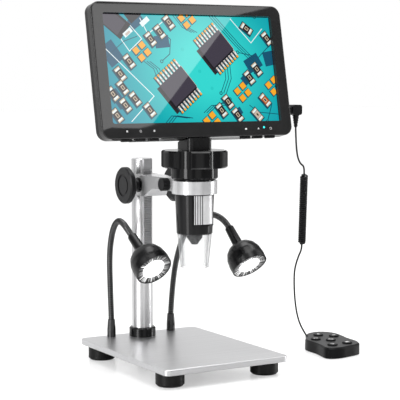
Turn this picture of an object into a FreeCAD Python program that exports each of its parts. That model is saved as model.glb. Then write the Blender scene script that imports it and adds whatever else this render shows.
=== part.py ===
import FreeCAD, Part
import math
import os

# All sizes in millimetres. +X is to the right as seen from the front, the
# front faces -Y and +Z is up. The origin lies on the floor under the centre
# of the base plate.

# Base plate and feet
PLATE_WIDTH = 114.0
PLATE_DEPTH = 154.0
PLATE_THICKNESS = 5.0
PLATE_CORNER_RADIUS = 5.0
PLATE_EDGE_BREAK = 0.5
FOOT_HEIGHT = 11.0
FOOT_RADIUS = 11.5
FOOT_EDGE_RADIUS = 1.5
FOOT_INSET_X = 13.0
FOOT_INSET_Y = 17.0
FOOT_COUNTERBORE_DEPTH = 6.0
SCREW_RADIUS = 2.0
SCREW_HEAD_RADIUS = 3.8
SCREW_HEAD_HEIGHT = 2.4
SCREW_BITE = 3.5

# Column, rack and foot collar
HEAD_LINE_X = -3.5
COLUMN_INSET_Y = 15.0
COLUMN_RADIUS = 9.0
COLUMN_TOP = 171.0
COLUMN_EDGE_BREAK = 0.6
COLUMN_BOLT_RADIUS = 2.5
COLUMN_BOLT_BITE = 14.0
BOLT_HEAD_RADIUS = 4.5
BOLT_HEAD_HEIGHT = 3.5
COLLAR_RADIUS = 11.5
COLLAR_HEIGHT = 8.0
COLLAR_EDGE_BREAK = 1.0
RACK_WIDTH = 7.5
RACK_SEAT = 6.0
RACK_FRONT = 11.4
RACK_BOTTOM = 66.0
RACK_TEETH_BOTTOM = 70.0
RACK_PLAIN_END = 8.0

# Gear teeth shared by the rack and its pinion
GEAR_MODULE = 0.6
PINION_TEETH = 14
PRESSURE_ANGLE = 20.0
GEAR_DEDENDUM_FACTOR = 1.25
TOOTH_BACKLASH = 0.12
MESH_PLAY = 0.1

# Carriage that slides on the column
CARRIAGE_DROP = 13.5
CARRIAGE_HEIGHT = 17.5
CARRIAGE_BACK_RADIUS = 13.5
HOUSING_HALF_WIDTH = 11.0
HOUSING_REACH = 23.5
BUSH_OUTER_RADIUS = 11.0
BUSH_CLEARANCE = 0.05
RACK_SIDE_CLEARANCE = 0.3
ARM_HALF_WIDTH = 6.25
ARM_HEIGHT = 10.5
ARM_TAPER_REACH = 38.0
ARM_DIAGONAL_REACH = 33.0
SHAFT_DROP = 8.2
SHAFT_RADIUS = 2.5
SHAFT_CLEARANCE = 0.05
PINION_BORE_RADIUS = 5.2
BUSHING_FLANGE_RADIUS = 6.3
BUSHING_FLANGE_THICKNESS = 1.0
PINION_SIDE_PLAY = 0.3

# Height knobs
KNOB_RADIUS = 15.6
KNOB_INNER = 20.0
KNOB_OUTER = 26.4
KNOB_BACK_RADIUS = 13.2
KNOB_RIM_BREAK = 1.0
KNOB_HUB_RADIUS = 4.9
KNOB_HUB_PLAY = 0.3
KNOB_RECESS_RADIUS = 9.5
KNOB_RECESS_DEPTH = 0.8
KNOB_CAP_RADIUS = 7.5
SHAFT_END_DEPTH = 2.4

# Clamp ring at the front of the arm and its screw
ARM_REACH = 90.7
CLAMP_CLEARANCE = 0.08
CLAMP_WALL = 2.45
CLAMP_SLOT = 1.6
CLAMP_SLOT_LENGTH = 44.7
CLAMP_SCREW_REACH = 33.7
CLAMP_SCREW_DROP = 5.1
CLAMP_SCREW_RADIUS = 2.0
CLAMP_SCREW_CLEARANCE = 0.08
CLAMP_HEAD_RADIUS = 5.4
CLAMP_HEAD_LENGTH = 6.0
CLAMP_HEAD_GAP = 0.3
CLAMP_KNURL_COUNT = 20
CLAMP_KNURL_RADIUS = 0.55

# Microscope tube
TUBE_RADIUS = 15.9
TUBE_BOTTOM_RADIUS = 14.6
TUBE_LENGTH = 44.1
TUBE_TAPER_LENGTH = 32.7
TUBE_SHOULDER_PROUD = 0.9
TUBE_BORE_RADIUS = 12.5
TUBE_SHOULDER_WALL = 3.4
SPIGOT_RADIUS = 10.0
SPIGOT_BORE_RADIUS = 7.0
UPPER_COLLAR_RADIUS = 19.0
UPPER_COLLAR_HEIGHT = 9.4
UPPER_COLLAR_BREAK = 1.6
WHEEL_PLAY = 0.2
WHEEL_HEIGHT = 14.1
WHEEL_RADIUS = 27.0
WHEEL_BORE_CLEARANCE = 0.08
WHEEL_LOBES = 6
WHEEL_LOBE_TURN = 11.0
WHEEL_SCALLOP_RADIUS = 12.0
WHEEL_SCALLOP_DEPTH = 3.0
WHEEL_EDGE_RADIUS = 1.2

# Grip panel on the front of the tube
GRIP_RISE = 8.7
GRIP_HEIGHT = 23.2
GRIP_HALF_ANGLE = 31.0
GRIP_FRAME_ANGLE = 37.0
GRIP_FRAME_BELOW = 1.4
GRIP_FRAME_ABOVE = 0.7
GRIP_FRAME_RADIUS = 16.5
GRIP_RADIUS = 16.4
GRIP_SEAT_RADIUS = 14.0
GRIP_RIB_COUNT = 8
GRIP_RIB_DEPTH = 0.25
GRIP_RIB_WIDTH = 0.6
GRIP_RIB_PITCH_ANGLE = 3.4

# Clear hood, lens and lamp ring inside the tube
HOOD_TOP_RADIUS = 14.1
HOOD_BOTTOM_RADIUS = 11.45
HOOD_LENGTH = 27.3
HOOD_WALL = 1.2
HOOD_SPIGOT_HEIGHT = 3.5
LENS_CONE_RADIUS = 6.4
LENS_CONE_DROP = 3.3
LENS_CONE_LENGTH = 5.4
LENS_TIP_RADIUS = 2.4
BARREL_RISE = 31.7
GLASS_RADIUS = 1.9
GLASS_THICKNESS = 1.2
BARREL_BORE_RADIUS = 4.6
LED_RING_THICKNESS = 1.2
LED_COUNT = 8
LED_CIRCLE_RADIUS = 9.4
LED_RADIUS = 1.3
LED_LENGTH = 2.6
SENSOR_BOARD_THICKNESS = 1.6
SENSOR_SIZE = 7.0

# Screen, drawn in its own axes: x across, y from its face into it, z up it
SCREEN_TILT = 11.6
SCREEN_FACE_AHEAD = 0.5
SCREEN_RISE = 65.8
SCREEN_HALF_WIDTH = 88.0
SCREEN_TOP = 53.0
SCREEN_BOTTOM = -56.0
SCREEN_CORNER_RADIUS = 8.0
FRAME_DEPTH = 6.0
FRAME_EDGE_RADIUS = 1.0
FRAME_FRONT_WALL = 3.0
SCREEN_WALL = 2.0
WINDOW_WIDTH = 156.0
WINDOW_HEIGHT = 88.0
WINDOW_CORNER_RADIUS = 2.0
SHELL_BACK = 13.0
SHELL_EDGE_RADIUS = 3.0
BULGE_BACK = 18.0
BULGE_HALF_WIDTH = 60.0
BULGE_TOP = 20.0
BULGE_SLOPE = 4.0
PANEL_WIDTH = 161.0
PANEL_HEIGHT = 97.0
PANEL_THICKNESS = 2.6
BOSS_RADIUS = 2.6
BOSS_X = 83.2
BOSS_TOP = 47.0
BOSS_BOTTOM = -50.0
PILOT_RADIUS = 1.0
SHELL_SCREW_HEAD_RADIUS = 2.0
SHELL_SCREW_HEAD_HEIGHT = 1.2
BOARD_HALF_WIDTH = 52.0
BOARD_BOTTOM = -44.0
BOARD_TOP = 14.0
BOARD_FRONT = 8.4
BOARD_THICKNESS = 1.6
STANDOFF_RADIUS = 2.5
STANDOFF_INSET = 4.0
CELL_HALF_WIDTH = 35.0
CELL_BOTTOM = -36.0
CELL_TOP = 8.0
CELL_THICKNESS = 4.8
VENT_COUNT = 7
VENT_WIDTH = 2.0
VENT_LENGTH = 14.0
VENT_PITCH = 5.0
VENT_CENTRE_Z = 36.0

# Six keys under the screen's lower edge
KEY_POSITIONS = [-66.5, -54.5, -42.5, 42.5, 54.5, 66.5]
KEY_WIDTH = 8.8
KEY_FRONT = 1.8
KEY_BACK = 4.4
KEY_PROUD = 1.9
KEY_CLEARANCE = 0.15
KEY_FLANGE_EXTRA = 1.0
KEY_FLANGE_HEIGHT = 1.4
KEY_TRAVEL = 0.6
KEY_BOARD_FRONT = 4.7
KEY_BOARD_BACK = 5.7
KEY_BOARD_HALF_WIDTH = 74.0
KEY_BOARD_TOP = -50.2
LED_WINDOW_X = 60.0
LED_WINDOW_Z = -49.2
LED_WINDOW_RADIUS = 0.9

# Neck between the tube and the screen
NECK_HALF_WIDTH = 11.0
NECK_CORNER_RADIUS = 4.0
NECK_GAP = 0.5
NECK_BACK_DEPTH = 11.0
RISER_HALF_WIDTH = 6.0
HINGE_SETBACK = 16.7
HINGE_RISE = 17.9
HINGE_BARREL_RADIUS = 4.5
HINGE_PIN_RADIUS = 2.0
HINGE_CLEARANCE = 0.05
LUG_GAP = 0.4
LUG_THICKNESS = 4.5
PIN_HEAD_RADIUS = 3.0
PIN_HEAD_LENGTH = 1.2

# Two lamps on bendable necks
FERRULE_X = 29.5
FERRULE_INSET_Y = 6.5
FERRULE_HEIGHT = 15.0
FERRULE_BOTTOM_RADIUS = 3.75
FERRULE_TOP_RADIUS = 3.1
STUD_RADIUS = 3.0
NUT_RADIUS = 5.4
NUT_HEIGHT = 3.0
NECK_TUBE_RADIUS = 2.7
LAMP_STEM_RADIUS = 4.4
LAMP_STEM_LENGTH = 18.0
SHADE_RADIUS = 15.8
SHADE_DEPTH = 22.5
LAMP_CUP_SHARE = 0.5
SHADE_WALL = 1.2
LAMP_CUP_RADIUS = 8.0
LENS_DISC_THICKNESS = 2.0
LAMP_LED_RADIUS = 6.5
LAMP_LED_THICKNESS = 1.6

# Wired remote that lies on the floor beside the stand
REMOTE_BASE_TOP = 4.6
REMOTE_TOP = 9.5
REMOTE_WALL = 1.6
REMOTE_EDGE_RADIUS = 1.2
REMOTE_KEYS = [
    (149.2, 12.5), (135.9, -2.4), (158.6, 1.8),
    (144.9, -12.7), (133.5, -31.0), (149.9, -30.1),
]
REMOTE_KEY_RADIUS = 4.4
REMOTE_KEY_PROUD = 1.0
REMOTE_KEY_TRAVEL = 0.6
REMOTE_KEY_CLEARANCE = 0.2
REMOTE_BOARD_THICKNESS = 1.0
REMOTE_DOME_HEIGHT = 0.8
REMOTE_DOME_RADIUS = 2.6

# Plug and cord of the remote
PLUG_REACH = 10.7
PLUG_SETBACK = 0.7
PLUG_BODY_GAP = 5.0
PLUG_BODY_WIDTH = 9.5
PLUG_HALF_DEPTH = 4.0
PLUG_DROP = 30.3
PLUG_BODY_HEIGHT = 8.6
PLUG_BARREL_RADIUS = 3.2
JACK_DEPTH = 8.0
JACK_PIN_RADIUS = 1.25
JACK_RADIUS = 2.0
RELIEF_LENGTH = 10.1
RELIEF_TOP_RADIUS = 3.0
RELIEF_BOTTOM_RADIUS = 1.5
RELIEF_GROOVES = 5
CORD_RADIUS = 0.75
CURL_RADIUS = 3.5
CURL_TOP_FROM_PLUG = (12.9, 5.7, -39.8)
CURL_BOTTOM_FROM_COLUMN = (121.6, -67.5, 94.9)
REMOTE_GLAND_RADIUS = 1.8
REMOTE_GLAND_LENGTH = 5.0
CORD_CLEARANCE = 0.3

PLATE_TOP = FOOT_HEIGHT + PLATE_THICKNESS
FOOT_X = PLATE_WIDTH / 2 - FOOT_INSET_X
FOOT_Y = PLATE_DEPTH / 2 - FOOT_INSET_Y
COLUMN_Y = PLATE_DEPTH / 2 - COLUMN_INSET_Y
FERRULE_Y = PLATE_DEPTH / 2 - FERRULE_INSET_Y
RACK_TEETH_TOP = COLUMN_TOP - RACK_PLAIN_END
CARRIAGE_TOP = COLUMN_TOP - CARRIAGE_DROP
CARRIAGE_BOTTOM = CARRIAGE_TOP - CARRIAGE_HEIGHT
HOUSING_FRONT_Y = COLUMN_Y - HOUSING_REACH
ARM_BOTTOM = CARRIAGE_TOP - ARM_HEIGHT
ARM_TAPER_Y = COLUMN_Y - ARM_TAPER_REACH
ARM_DIAGONAL_Y = COLUMN_Y - ARM_DIAGONAL_REACH
SHAFT_Z = CARRIAGE_TOP - SHAFT_DROP
TUBE_Y = COLUMN_Y - ARM_REACH
CLAMP_SLOT_BACK_Y = TUBE_Y + CLAMP_SLOT_LENGTH
CLAMP_SCREW_Y = TUBE_Y + CLAMP_SCREW_REACH
CLAMP_SCREW_Z = CARRIAGE_TOP - CLAMP_SCREW_DROP
TUBE_SHOULDER = CARRIAGE_TOP + TUBE_SHOULDER_PROUD
TUBE_BOTTOM = TUBE_SHOULDER - TUBE_LENGTH
TUBE_TAPER_TOP = TUBE_BOTTOM + TUBE_TAPER_LENGTH
TUBE_BORE_TOP = TUBE_SHOULDER - TUBE_SHOULDER_WALL
UPPER_COLLAR_TOP = TUBE_SHOULDER + UPPER_COLLAR_HEIGHT
WHEEL_TOP = UPPER_COLLAR_TOP + WHEEL_PLAY + WHEEL_HEIGHT
NECK_BOTTOM = WHEEL_TOP + WHEEL_PLAY
GRIP_BOTTOM = TUBE_BOTTOM + GRIP_RISE
GRIP_TOP = GRIP_BOTTOM + GRIP_HEIGHT
GRIP_FRAME_BOTTOM = GRIP_BOTTOM - GRIP_FRAME_BELOW
GRIP_FRAME_TOP = GRIP_TOP + GRIP_FRAME_ABOVE
HOOD_BOTTOM = TUBE_BOTTOM - HOOD_LENGTH
LENS_CONE_START = TUBE_BOTTOM - LENS_CONE_DROP
LENS_TIP = LENS_CONE_START - LENS_CONE_LENGTH
BARREL_TOP = TUBE_BOTTOM + BARREL_RISE
SCREEN_FACE_Y = TUBE_Y - SCREEN_FACE_AHEAD
SCREEN_FACE_Z = WHEEL_TOP + SCREEN_RISE
HINGE_Y = TUBE_Y + HINGE_SETBACK
HINGE_Z = WHEEL_TOP + HINGE_RISE
PLUG_X = HEAD_LINE_X + SCREEN_HALF_WIDTH + PLUG_REACH
PLUG_Y = SCREEN_FACE_Y + PLUG_SETBACK
PLUG_BODY_LEFT = HEAD_LINE_X + SCREEN_HALF_WIDTH + PLUG_BODY_GAP
PLUG_BODY_RIGHT = PLUG_BODY_LEFT + PLUG_BODY_WIDTH
PLUG_TOP = SCREEN_FACE_Z - PLUG_DROP
PLUG_BOTTOM = PLUG_TOP - PLUG_BODY_HEIGHT
RELIEF_BOTTOM = PLUG_BOTTOM - RELIEF_LENGTH
PITCH = math.pi * GEAR_MODULE
PINION_PITCH_RADIUS = GEAR_MODULE * PINION_TEETH / 2
PINION_TIP_RADIUS = PINION_PITCH_RADIUS + GEAR_MODULE
GEAR_DEDENDUM = GEAR_DEDENDUM_FACTOR * GEAR_MODULE
RACK_PITCH_LINE = RACK_FRONT - GEAR_MODULE
SHAFT_Y = COLUMN_Y - RACK_PITCH_LINE - PINION_PITCH_RADIUS - MESH_PLAY
CLAMP_BORE = TUBE_RADIUS + CLAMP_CLEARANCE
CLAMP_OUTER = CLAMP_BORE + CLAMP_WALL
TILT_SIN = math.sin(math.radians(SCREEN_TILT))
TILT_COS = math.cos(math.radians(SCREEN_TILT))

os.makedirs("parts", exist_ok=True)


def vec(x, y, z):
    return FreeCAD.Vector(x, y, z)


def block(x0, x1, y0, y1, z0, z1):
    return Part.makeBox(x1 - x0, y1 - y0, z1 - z0, vec(x0, y0, z0))


def post(radius, x, y, z0, z1):
    return Part.makeCylinder(radius, z1 - z0, vec(x, y, z0))


def rod_x(radius, x0, x1, y, z):
    return Part.makeCylinder(radius, x1 - x0, vec(x0, y, z), vec(1, 0, 0))


def rod_y(radius, x, y0, y1, z):
    return Part.makeCylinder(radius, y1 - y0, vec(x, y0, z), vec(0, 1, 0))


def turned(profile, x=0.0, y=0.0):
    """Revolve (radius, height) points about the upright line through x, y."""
    points = [vec(x + radius, y, height) for radius, height in profile]
    face = Part.Face(Part.makePolygon(points + points[:1]))
    return face.revolve(vec(x, y, 0), vec(0, 0, 1), 360)


def plate_yz(outline, x0, x1):
    """Extrude a (y, z) outline from x0 to x1."""
    points = [vec(x0, y, z) for y, z in outline]
    face = Part.Face(Part.makePolygon(points + points[:1]))
    return face.extrude(vec(x1 - x0, 0, 0))


def plate_xy(outline, z0, z1):
    """Extrude an (x, y) outline from z0 to z1."""
    points = [vec(x, y, z0) for x, y in outline]
    face = Part.Face(Part.makePolygon(points + points[:1]))
    return face.extrude(vec(0, 0, z1 - z0))


def edges_along(shape, direction):
    """Straight edges of a shape that run along one direction."""
    found = []
    for edge in shape.Edges:
        if edge.Curve.TypeId == "Part::GeomLine" and abs(edge.Curve.Direction.dot(direction)) > 0.999:
            found.append(edge)
    return found


def edges_at(shape, axis, level):
    """Edges that lie wholly in the plane where one coordinate has a given level."""
    found = []
    for edge in shape.Edges:
        low, high = {
            "y": (edge.BoundBox.YMin, edge.BoundBox.YMax),
            "z": (edge.BoundBox.ZMin, edge.BoundBox.ZMax),
        }[axis]
        if abs(low - level) < 0.01 and abs(high - level) < 0.01:
            found.append(edge)
    return found


def fused(shapes):
    return shapes[0].multiFuse(shapes[1:]).removeSplitter()


def save(node, *solids):
    shape = solids[0] if len(solids) == 1 else Part.makeCompound(list(solids))
    shape.exportStep(f"parts/{node}.step")


# Base: plate, rubber feet and the screws that hold them and the column
def make_base():
    half_x, half_y = PLATE_WIDTH / 2, PLATE_DEPTH / 2
    plate = block(-half_x, half_x, -half_y, half_y, FOOT_HEIGHT, PLATE_TOP)
    plate = plate.makeFillet(PLATE_CORNER_RADIUS, edges_along(plate, vec(0, 0, 1)))
    rims = edges_at(plate, "z", PLATE_TOP) + edges_at(plate, "z", FOOT_HEIGHT)
    plate = plate.makeChamfer(PLATE_EDGE_BREAK, rims)
    foot_profile = [
        (SCREW_HEAD_RADIUS + 0.6, 0), (FOOT_RADIUS - FOOT_EDGE_RADIUS, 0), (FOOT_RADIUS, FOOT_EDGE_RADIUS),
        (FOOT_RADIUS, FOOT_HEIGHT), (SCREW_RADIUS, FOOT_HEIGHT), (SCREW_RADIUS, FOOT_COUNTERBORE_DEPTH),
        (SCREW_HEAD_RADIUS + 0.6, FOOT_COUNTERBORE_DEPTH),
    ]
    screw_profile = [
        (0, FOOT_COUNTERBORE_DEPTH - SCREW_HEAD_HEIGHT),
        (SCREW_HEAD_RADIUS - 0.8, FOOT_COUNTERBORE_DEPTH - SCREW_HEAD_HEIGHT),
        (SCREW_HEAD_RADIUS, FOOT_COUNTERBORE_DEPTH - SCREW_HEAD_HEIGHT + 0.8),
        (SCREW_HEAD_RADIUS, FOOT_COUNTERBORE_DEPTH), (SCREW_RADIUS, FOOT_COUNTERBORE_DEPTH),
        (SCREW_RADIUS, FOOT_HEIGHT + SCREW_BITE), (0, FOOT_HEIGHT + SCREW_BITE),
    ]
    feet = []
    screws = []
    for x in (-FOOT_X, FOOT_X):
        for y in (-FOOT_Y, FOOT_Y):
            feet.append(turned(foot_profile, x, y))
            screws.append(turned(screw_profile, x, y))
            plate = plate.cut(post(SCREW_RADIUS, x, y, FOOT_HEIGHT, FOOT_HEIGHT + SCREW_BITE))
    plate = plate.cut(post(COLUMN_BOLT_RADIUS, HEAD_LINE_X, COLUMN_Y, FOOT_HEIGHT, PLATE_TOP))
    for side in (-1, 1):
        plate = plate.cut(post(STUD_RADIUS, side * FERRULE_X, FERRULE_Y, FOOT_HEIGHT, PLATE_TOP))
    bolt = post(COLUMN_BOLT_RADIUS, HEAD_LINE_X, COLUMN_Y, FOOT_HEIGHT, PLATE_TOP + COLUMN_BOLT_BITE)
    head = hexagon(BOLT_HEAD_RADIUS, HEAD_LINE_X, COLUMN_Y, FOOT_HEIGHT - BOLT_HEAD_HEIGHT, FOOT_HEIGHT)
    screws.append(bolt.fuse(head))
    save("base_plate", plate)
    save("rubber_feet", *feet)
    return screws


def hexagon(radius, x, y, z0, z1):
    corners = []
    for step in range(6):
        angle = math.radians(60 * step)
        corners.append((x + radius * math.cos(angle), y + radius * math.sin(angle)))
    return plate_xy(corners, z0, z1)


# Column with a slot for its rack, and the collar round its foot
def make_column():
    column = turned([
        (0, PLATE_TOP), (COLUMN_RADIUS, PLATE_TOP), (COLUMN_RADIUS, COLUMN_TOP - COLUMN_EDGE_BREAK),
        (COLUMN_RADIUS - COLUMN_EDGE_BREAK, COLUMN_TOP), (0, COLUMN_TOP),
    ], HEAD_LINE_X, COLUMN_Y)
    half = RACK_WIDTH / 2
    slot = block(HEAD_LINE_X - half, HEAD_LINE_X + half, COLUMN_Y - COLUMN_RADIUS - 1,
                 COLUMN_Y - RACK_SEAT, RACK_BOTTOM, COLUMN_TOP)
    column = column.cut(slot)
    column = column.cut(post(COLUMN_BOLT_RADIUS, HEAD_LINE_X, COLUMN_Y, PLATE_TOP, PLATE_TOP + COLUMN_BOLT_BITE))
    collar = turned([
        (COLUMN_RADIUS, PLATE_TOP), (COLLAR_RADIUS, PLATE_TOP),
        (COLLAR_RADIUS, PLATE_TOP + COLLAR_HEIGHT - COLLAR_EDGE_BREAK),
        (COLLAR_RADIUS - COLLAR_EDGE_BREAK, PLATE_TOP + COLLAR_HEIGHT), (COLUMN_RADIUS, PLATE_TOP + COLLAR_HEIGHT),
    ], HEAD_LINE_X, COLUMN_Y)
    save("column", column)
    save("column_collar", collar)


def rack_outline():
    """Side outline of the rack: a plain bar whose front is cut into straight-flanked teeth."""
    tip_half = PITCH / 4 - GEAR_MODULE * math.tan(math.radians(PRESSURE_ANGLE)) - TOOTH_BACKLASH / 2
    root_half = PITCH / 4 + GEAR_DEDENDUM * math.tan(math.radians(PRESSURE_ANGLE)) - TOOTH_BACKLASH / 2
    back = COLUMN_Y - RACK_SEAT
    front = COLUMN_Y - RACK_FRONT
    root = COLUMN_Y - RACK_PITCH_LINE + GEAR_DEDENDUM
    outline = [(back, RACK_BOTTOM), (front, RACK_BOTTOM), (front, RACK_TEETH_BOTTOM), (root, RACK_TEETH_BOTTOM)]
    first = math.ceil((RACK_TEETH_BOTTOM + root_half - SHAFT_Z) / PITCH)
    last = math.floor((RACK_TEETH_TOP - root_half - SHAFT_Z) / PITCH)
    for step in range(first, last + 1):
        centre = SHAFT_Z + step * PITCH
        outline.append((root, centre - root_half))
        outline.append((front, centre - tip_half))
        outline.append((front, centre + tip_half))
        outline.append((root, centre + root_half))
    outline += [(root, RACK_TEETH_TOP), (front, RACK_TEETH_TOP), (front, COLUMN_TOP), (back, COLUMN_TOP)]
    return outline


def make_rack():
    half = RACK_WIDTH / 2
    save("rack", plate_yz(rack_outline(), HEAD_LINE_X - half, HEAD_LINE_X + half))


# Carriage: block round the column, pinion housing, arm and clamp ring
def make_carriage():
    housing_back = COLUMN_Y
    plan = plate_xy([
        (HEAD_LINE_X - HOUSING_HALF_WIDTH, housing_back), (HEAD_LINE_X - HOUSING_HALF_WIDTH, HOUSING_FRONT_Y),
        (HEAD_LINE_X - ARM_HALF_WIDTH, ARM_TAPER_Y), (HEAD_LINE_X - ARM_HALF_WIDTH, TUBE_Y + CLAMP_BORE),
        (HEAD_LINE_X + ARM_HALF_WIDTH, TUBE_Y + CLAMP_BORE), (HEAD_LINE_X + ARM_HALF_WIDTH, ARM_TAPER_Y),
        (HEAD_LINE_X + HOUSING_HALF_WIDTH, HOUSING_FRONT_Y), (HEAD_LINE_X + HOUSING_HALF_WIDTH, housing_back),
    ], CARRIAGE_BOTTOM, CARRIAGE_TOP)
    side = plate_yz([
        (housing_back, CARRIAGE_BOTTOM), (housing_back, CARRIAGE_TOP), (TUBE_Y, CARRIAGE_TOP), (TUBE_Y, ARM_BOTTOM),
        (ARM_DIAGONAL_Y, ARM_BOTTOM), (HOUSING_FRONT_Y, CARRIAGE_BOTTOM),
    ], HEAD_LINE_X - HOUSING_HALF_WIDTH, HEAD_LINE_X + HOUSING_HALF_WIDTH)
    sleeve = post(CARRIAGE_BACK_RADIUS, HEAD_LINE_X, COLUMN_Y, CARRIAGE_BOTTOM, CARRIAGE_TOP)
    ring = post(CLAMP_OUTER, HEAD_LINE_X, TUBE_Y, ARM_BOTTOM, CARRIAGE_TOP)
    body = fused([plan.common(side), sleeve, ring])
    body = body.cut(post(BUSH_OUTER_RADIUS, HEAD_LINE_X, COLUMN_Y, CARRIAGE_BOTTOM, CARRIAGE_TOP))
    body = body.cut(post(CLAMP_BORE, HEAD_LINE_X, TUBE_Y, ARM_BOTTOM, CARRIAGE_TOP))
    body = body.cut(rack_way())
    body = body.cut(rod_x(PINION_BORE_RADIUS, HEAD_LINE_X - HOUSING_HALF_WIDTH, HEAD_LINE_X + HOUSING_HALF_WIDTH,
                          SHAFT_Y, SHAFT_Z))
    body = body.cut(block(HEAD_LINE_X - CLAMP_SLOT / 2, HEAD_LINE_X + CLAMP_SLOT / 2, TUBE_Y, CLAMP_SLOT_BACK_Y,
                          ARM_BOTTOM, CARRIAGE_TOP))
    screw_hole = CLAMP_SCREW_RADIUS + CLAMP_SCREW_CLEARANCE
    body = body.cut(rod_x(screw_hole, HEAD_LINE_X - ARM_HALF_WIDTH, HEAD_LINE_X + ARM_HALF_WIDTH,
                          CLAMP_SCREW_Y, CLAMP_SCREW_Z))
    save("carriage_arm", body)


def rack_way():
    """Slot in which the rack stands clear of the carriage."""
    half = RACK_WIDTH / 2 + RACK_SIDE_CLEARANCE
    return block(HEAD_LINE_X - half, HEAD_LINE_X + half, COLUMN_Y - RACK_FRONT - RACK_SIDE_CLEARANCE,
                 COLUMN_Y - RACK_SEAT, CARRIAGE_BOTTOM, CARRIAGE_TOP)


def make_bushes():
    slide = post(BUSH_OUTER_RADIUS, HEAD_LINE_X, COLUMN_Y, CARRIAGE_BOTTOM, CARRIAGE_TOP)
    slide = slide.cut(post(COLUMN_RADIUS + BUSH_CLEARANCE, HEAD_LINE_X, COLUMN_Y, CARRIAGE_BOTTOM, CARRIAGE_TOP))
    slide = slide.cut(rack_way())
    slide = slide.cut(rod_x(PINION_BORE_RADIUS, HEAD_LINE_X - HOUSING_HALF_WIDTH, HEAD_LINE_X + HOUSING_HALF_WIDTH,
                            SHAFT_Y, SHAFT_Z))
    save("slide_bush", slide)
    inner = RACK_WIDTH / 2 + PINION_SIDE_PLAY
    bushes = []
    for side in (-1, 1):
        bush = turned([
            (SHAFT_RADIUS + SHAFT_CLEARANCE, inner), (PINION_BORE_RADIUS, inner),
            (PINION_BORE_RADIUS, HOUSING_HALF_WIDTH), (BUSHING_FLANGE_RADIUS, HOUSING_HALF_WIDTH),
            (BUSHING_FLANGE_RADIUS, HOUSING_HALF_WIDTH + BUSHING_FLANGE_THICKNESS),
            (SHAFT_RADIUS + SHAFT_CLEARANCE, HOUSING_HALF_WIDTH + BUSHING_FLANGE_THICKNESS),
        ])
        bushes.append(on_shaft(bush, side))
    save("pinion_bushes", *bushes)


def on_shaft(shape, side):
    """Turn a shape drawn along +Z from the origin onto the shaft, outwards to one side."""
    placed = shape.copy()
    placed.rotate(vec(0, 0, 0), vec(0, 1, 0), 90 * side)
    placed.translate(vec(HEAD_LINE_X, SHAFT_Y, SHAFT_Z))
    return placed


# Pinion, its shaft and the two knobs
def make_pinion_shaft():
    root_radius = PINION_PITCH_RADIUS - GEAR_DEDENDUM
    thickness_half = PITCH / 4 - TOOTH_BACKLASH / 2
    slope = math.tan(math.radians(PRESSURE_ANGLE))
    points = []
    for tooth in range(PINION_TEETH):
        centre = math.tau * (tooth + 0.5) / PINION_TEETH
        flank = [
            (root_radius, -thickness_half - 0.8 * GEAR_DEDENDUM * slope),
            (PINION_PITCH_RADIUS, -thickness_half),
            (PINION_TIP_RADIUS, -thickness_half + 1.3 * GEAR_MODULE * slope),
            (PINION_TIP_RADIUS, thickness_half - 1.3 * GEAR_MODULE * slope),
            (PINION_PITCH_RADIUS, thickness_half),
            (root_radius, thickness_half + 0.8 * GEAR_DEDENDUM * slope),
        ]
        for radius, offset in flank:
            angle = centre + offset / radius
            points.append(vec(0, radius * math.cos(angle), radius * math.sin(angle)))
    face = Part.Face(Part.makePolygon(points + points[:1]))
    gear = face.extrude(vec(RACK_WIDTH, 0, 0))
    gear.translate(vec(HEAD_LINE_X - RACK_WIDTH / 2, SHAFT_Y, SHAFT_Z))
    end = KNOB_OUTER - SHAFT_END_DEPTH
    shaft = rod_x(SHAFT_RADIUS, HEAD_LINE_X - end, HEAD_LINE_X + end, SHAFT_Y, SHAFT_Z)
    save("pinion_shaft", shaft.fuse(gear))


def make_knobs():
    hub_start = HOUSING_HALF_WIDTH + BUSHING_FLANGE_THICKNESS + KNOB_HUB_PLAY
    profile = [
        (SHAFT_RADIUS, hub_start), (KNOB_HUB_RADIUS, hub_start), (KNOB_HUB_RADIUS, KNOB_INNER),
        (KNOB_BACK_RADIUS, KNOB_INNER), (KNOB_RADIUS, KNOB_INNER + 2.2), (KNOB_RADIUS, KNOB_OUTER - KNOB_RIM_BREAK),
        (KNOB_RADIUS - KNOB_RIM_BREAK, KNOB_OUTER), (KNOB_RECESS_RADIUS, KNOB_OUTER),
        (KNOB_RECESS_RADIUS, KNOB_OUTER - KNOB_RECESS_DEPTH), (KNOB_CAP_RADIUS, KNOB_OUTER - KNOB_RECESS_DEPTH),
        (KNOB_CAP_RADIUS, KNOB_OUTER - 0.3), (0, KNOB_OUTER - 0.3),
        (0, KNOB_OUTER - SHAFT_END_DEPTH), (SHAFT_RADIUS, KNOB_OUTER - SHAFT_END_DEPTH),
    ]
    save("knob_left", on_shaft(turned(profile), -1))
    save("knob_right", on_shaft(turned(profile), 1))


def make_clamp_screw():
    left = HEAD_LINE_X - ARM_HALF_WIDTH - CLAMP_HEAD_GAP
    head = rod_x(CLAMP_HEAD_RADIUS, left - CLAMP_HEAD_LENGTH, left, CLAMP_SCREW_Y, CLAMP_SCREW_Z)
    for step in range(CLAMP_KNURL_COUNT):
        angle = math.tau * step / CLAMP_KNURL_COUNT
        groove_y = CLAMP_SCREW_Y + CLAMP_HEAD_RADIUS * math.cos(angle)
        groove_z = CLAMP_SCREW_Z + CLAMP_HEAD_RADIUS * math.sin(angle)
        head = head.cut(rod_x(CLAMP_KNURL_RADIUS, left - CLAMP_HEAD_LENGTH, left, groove_y, groove_z))
    shank = rod_x(CLAMP_SCREW_RADIUS, left, HEAD_LINE_X + ARM_HALF_WIDTH, CLAMP_SCREW_Y, CLAMP_SCREW_Z)
    save("clamp_screw", head.fuse(shank))


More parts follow.
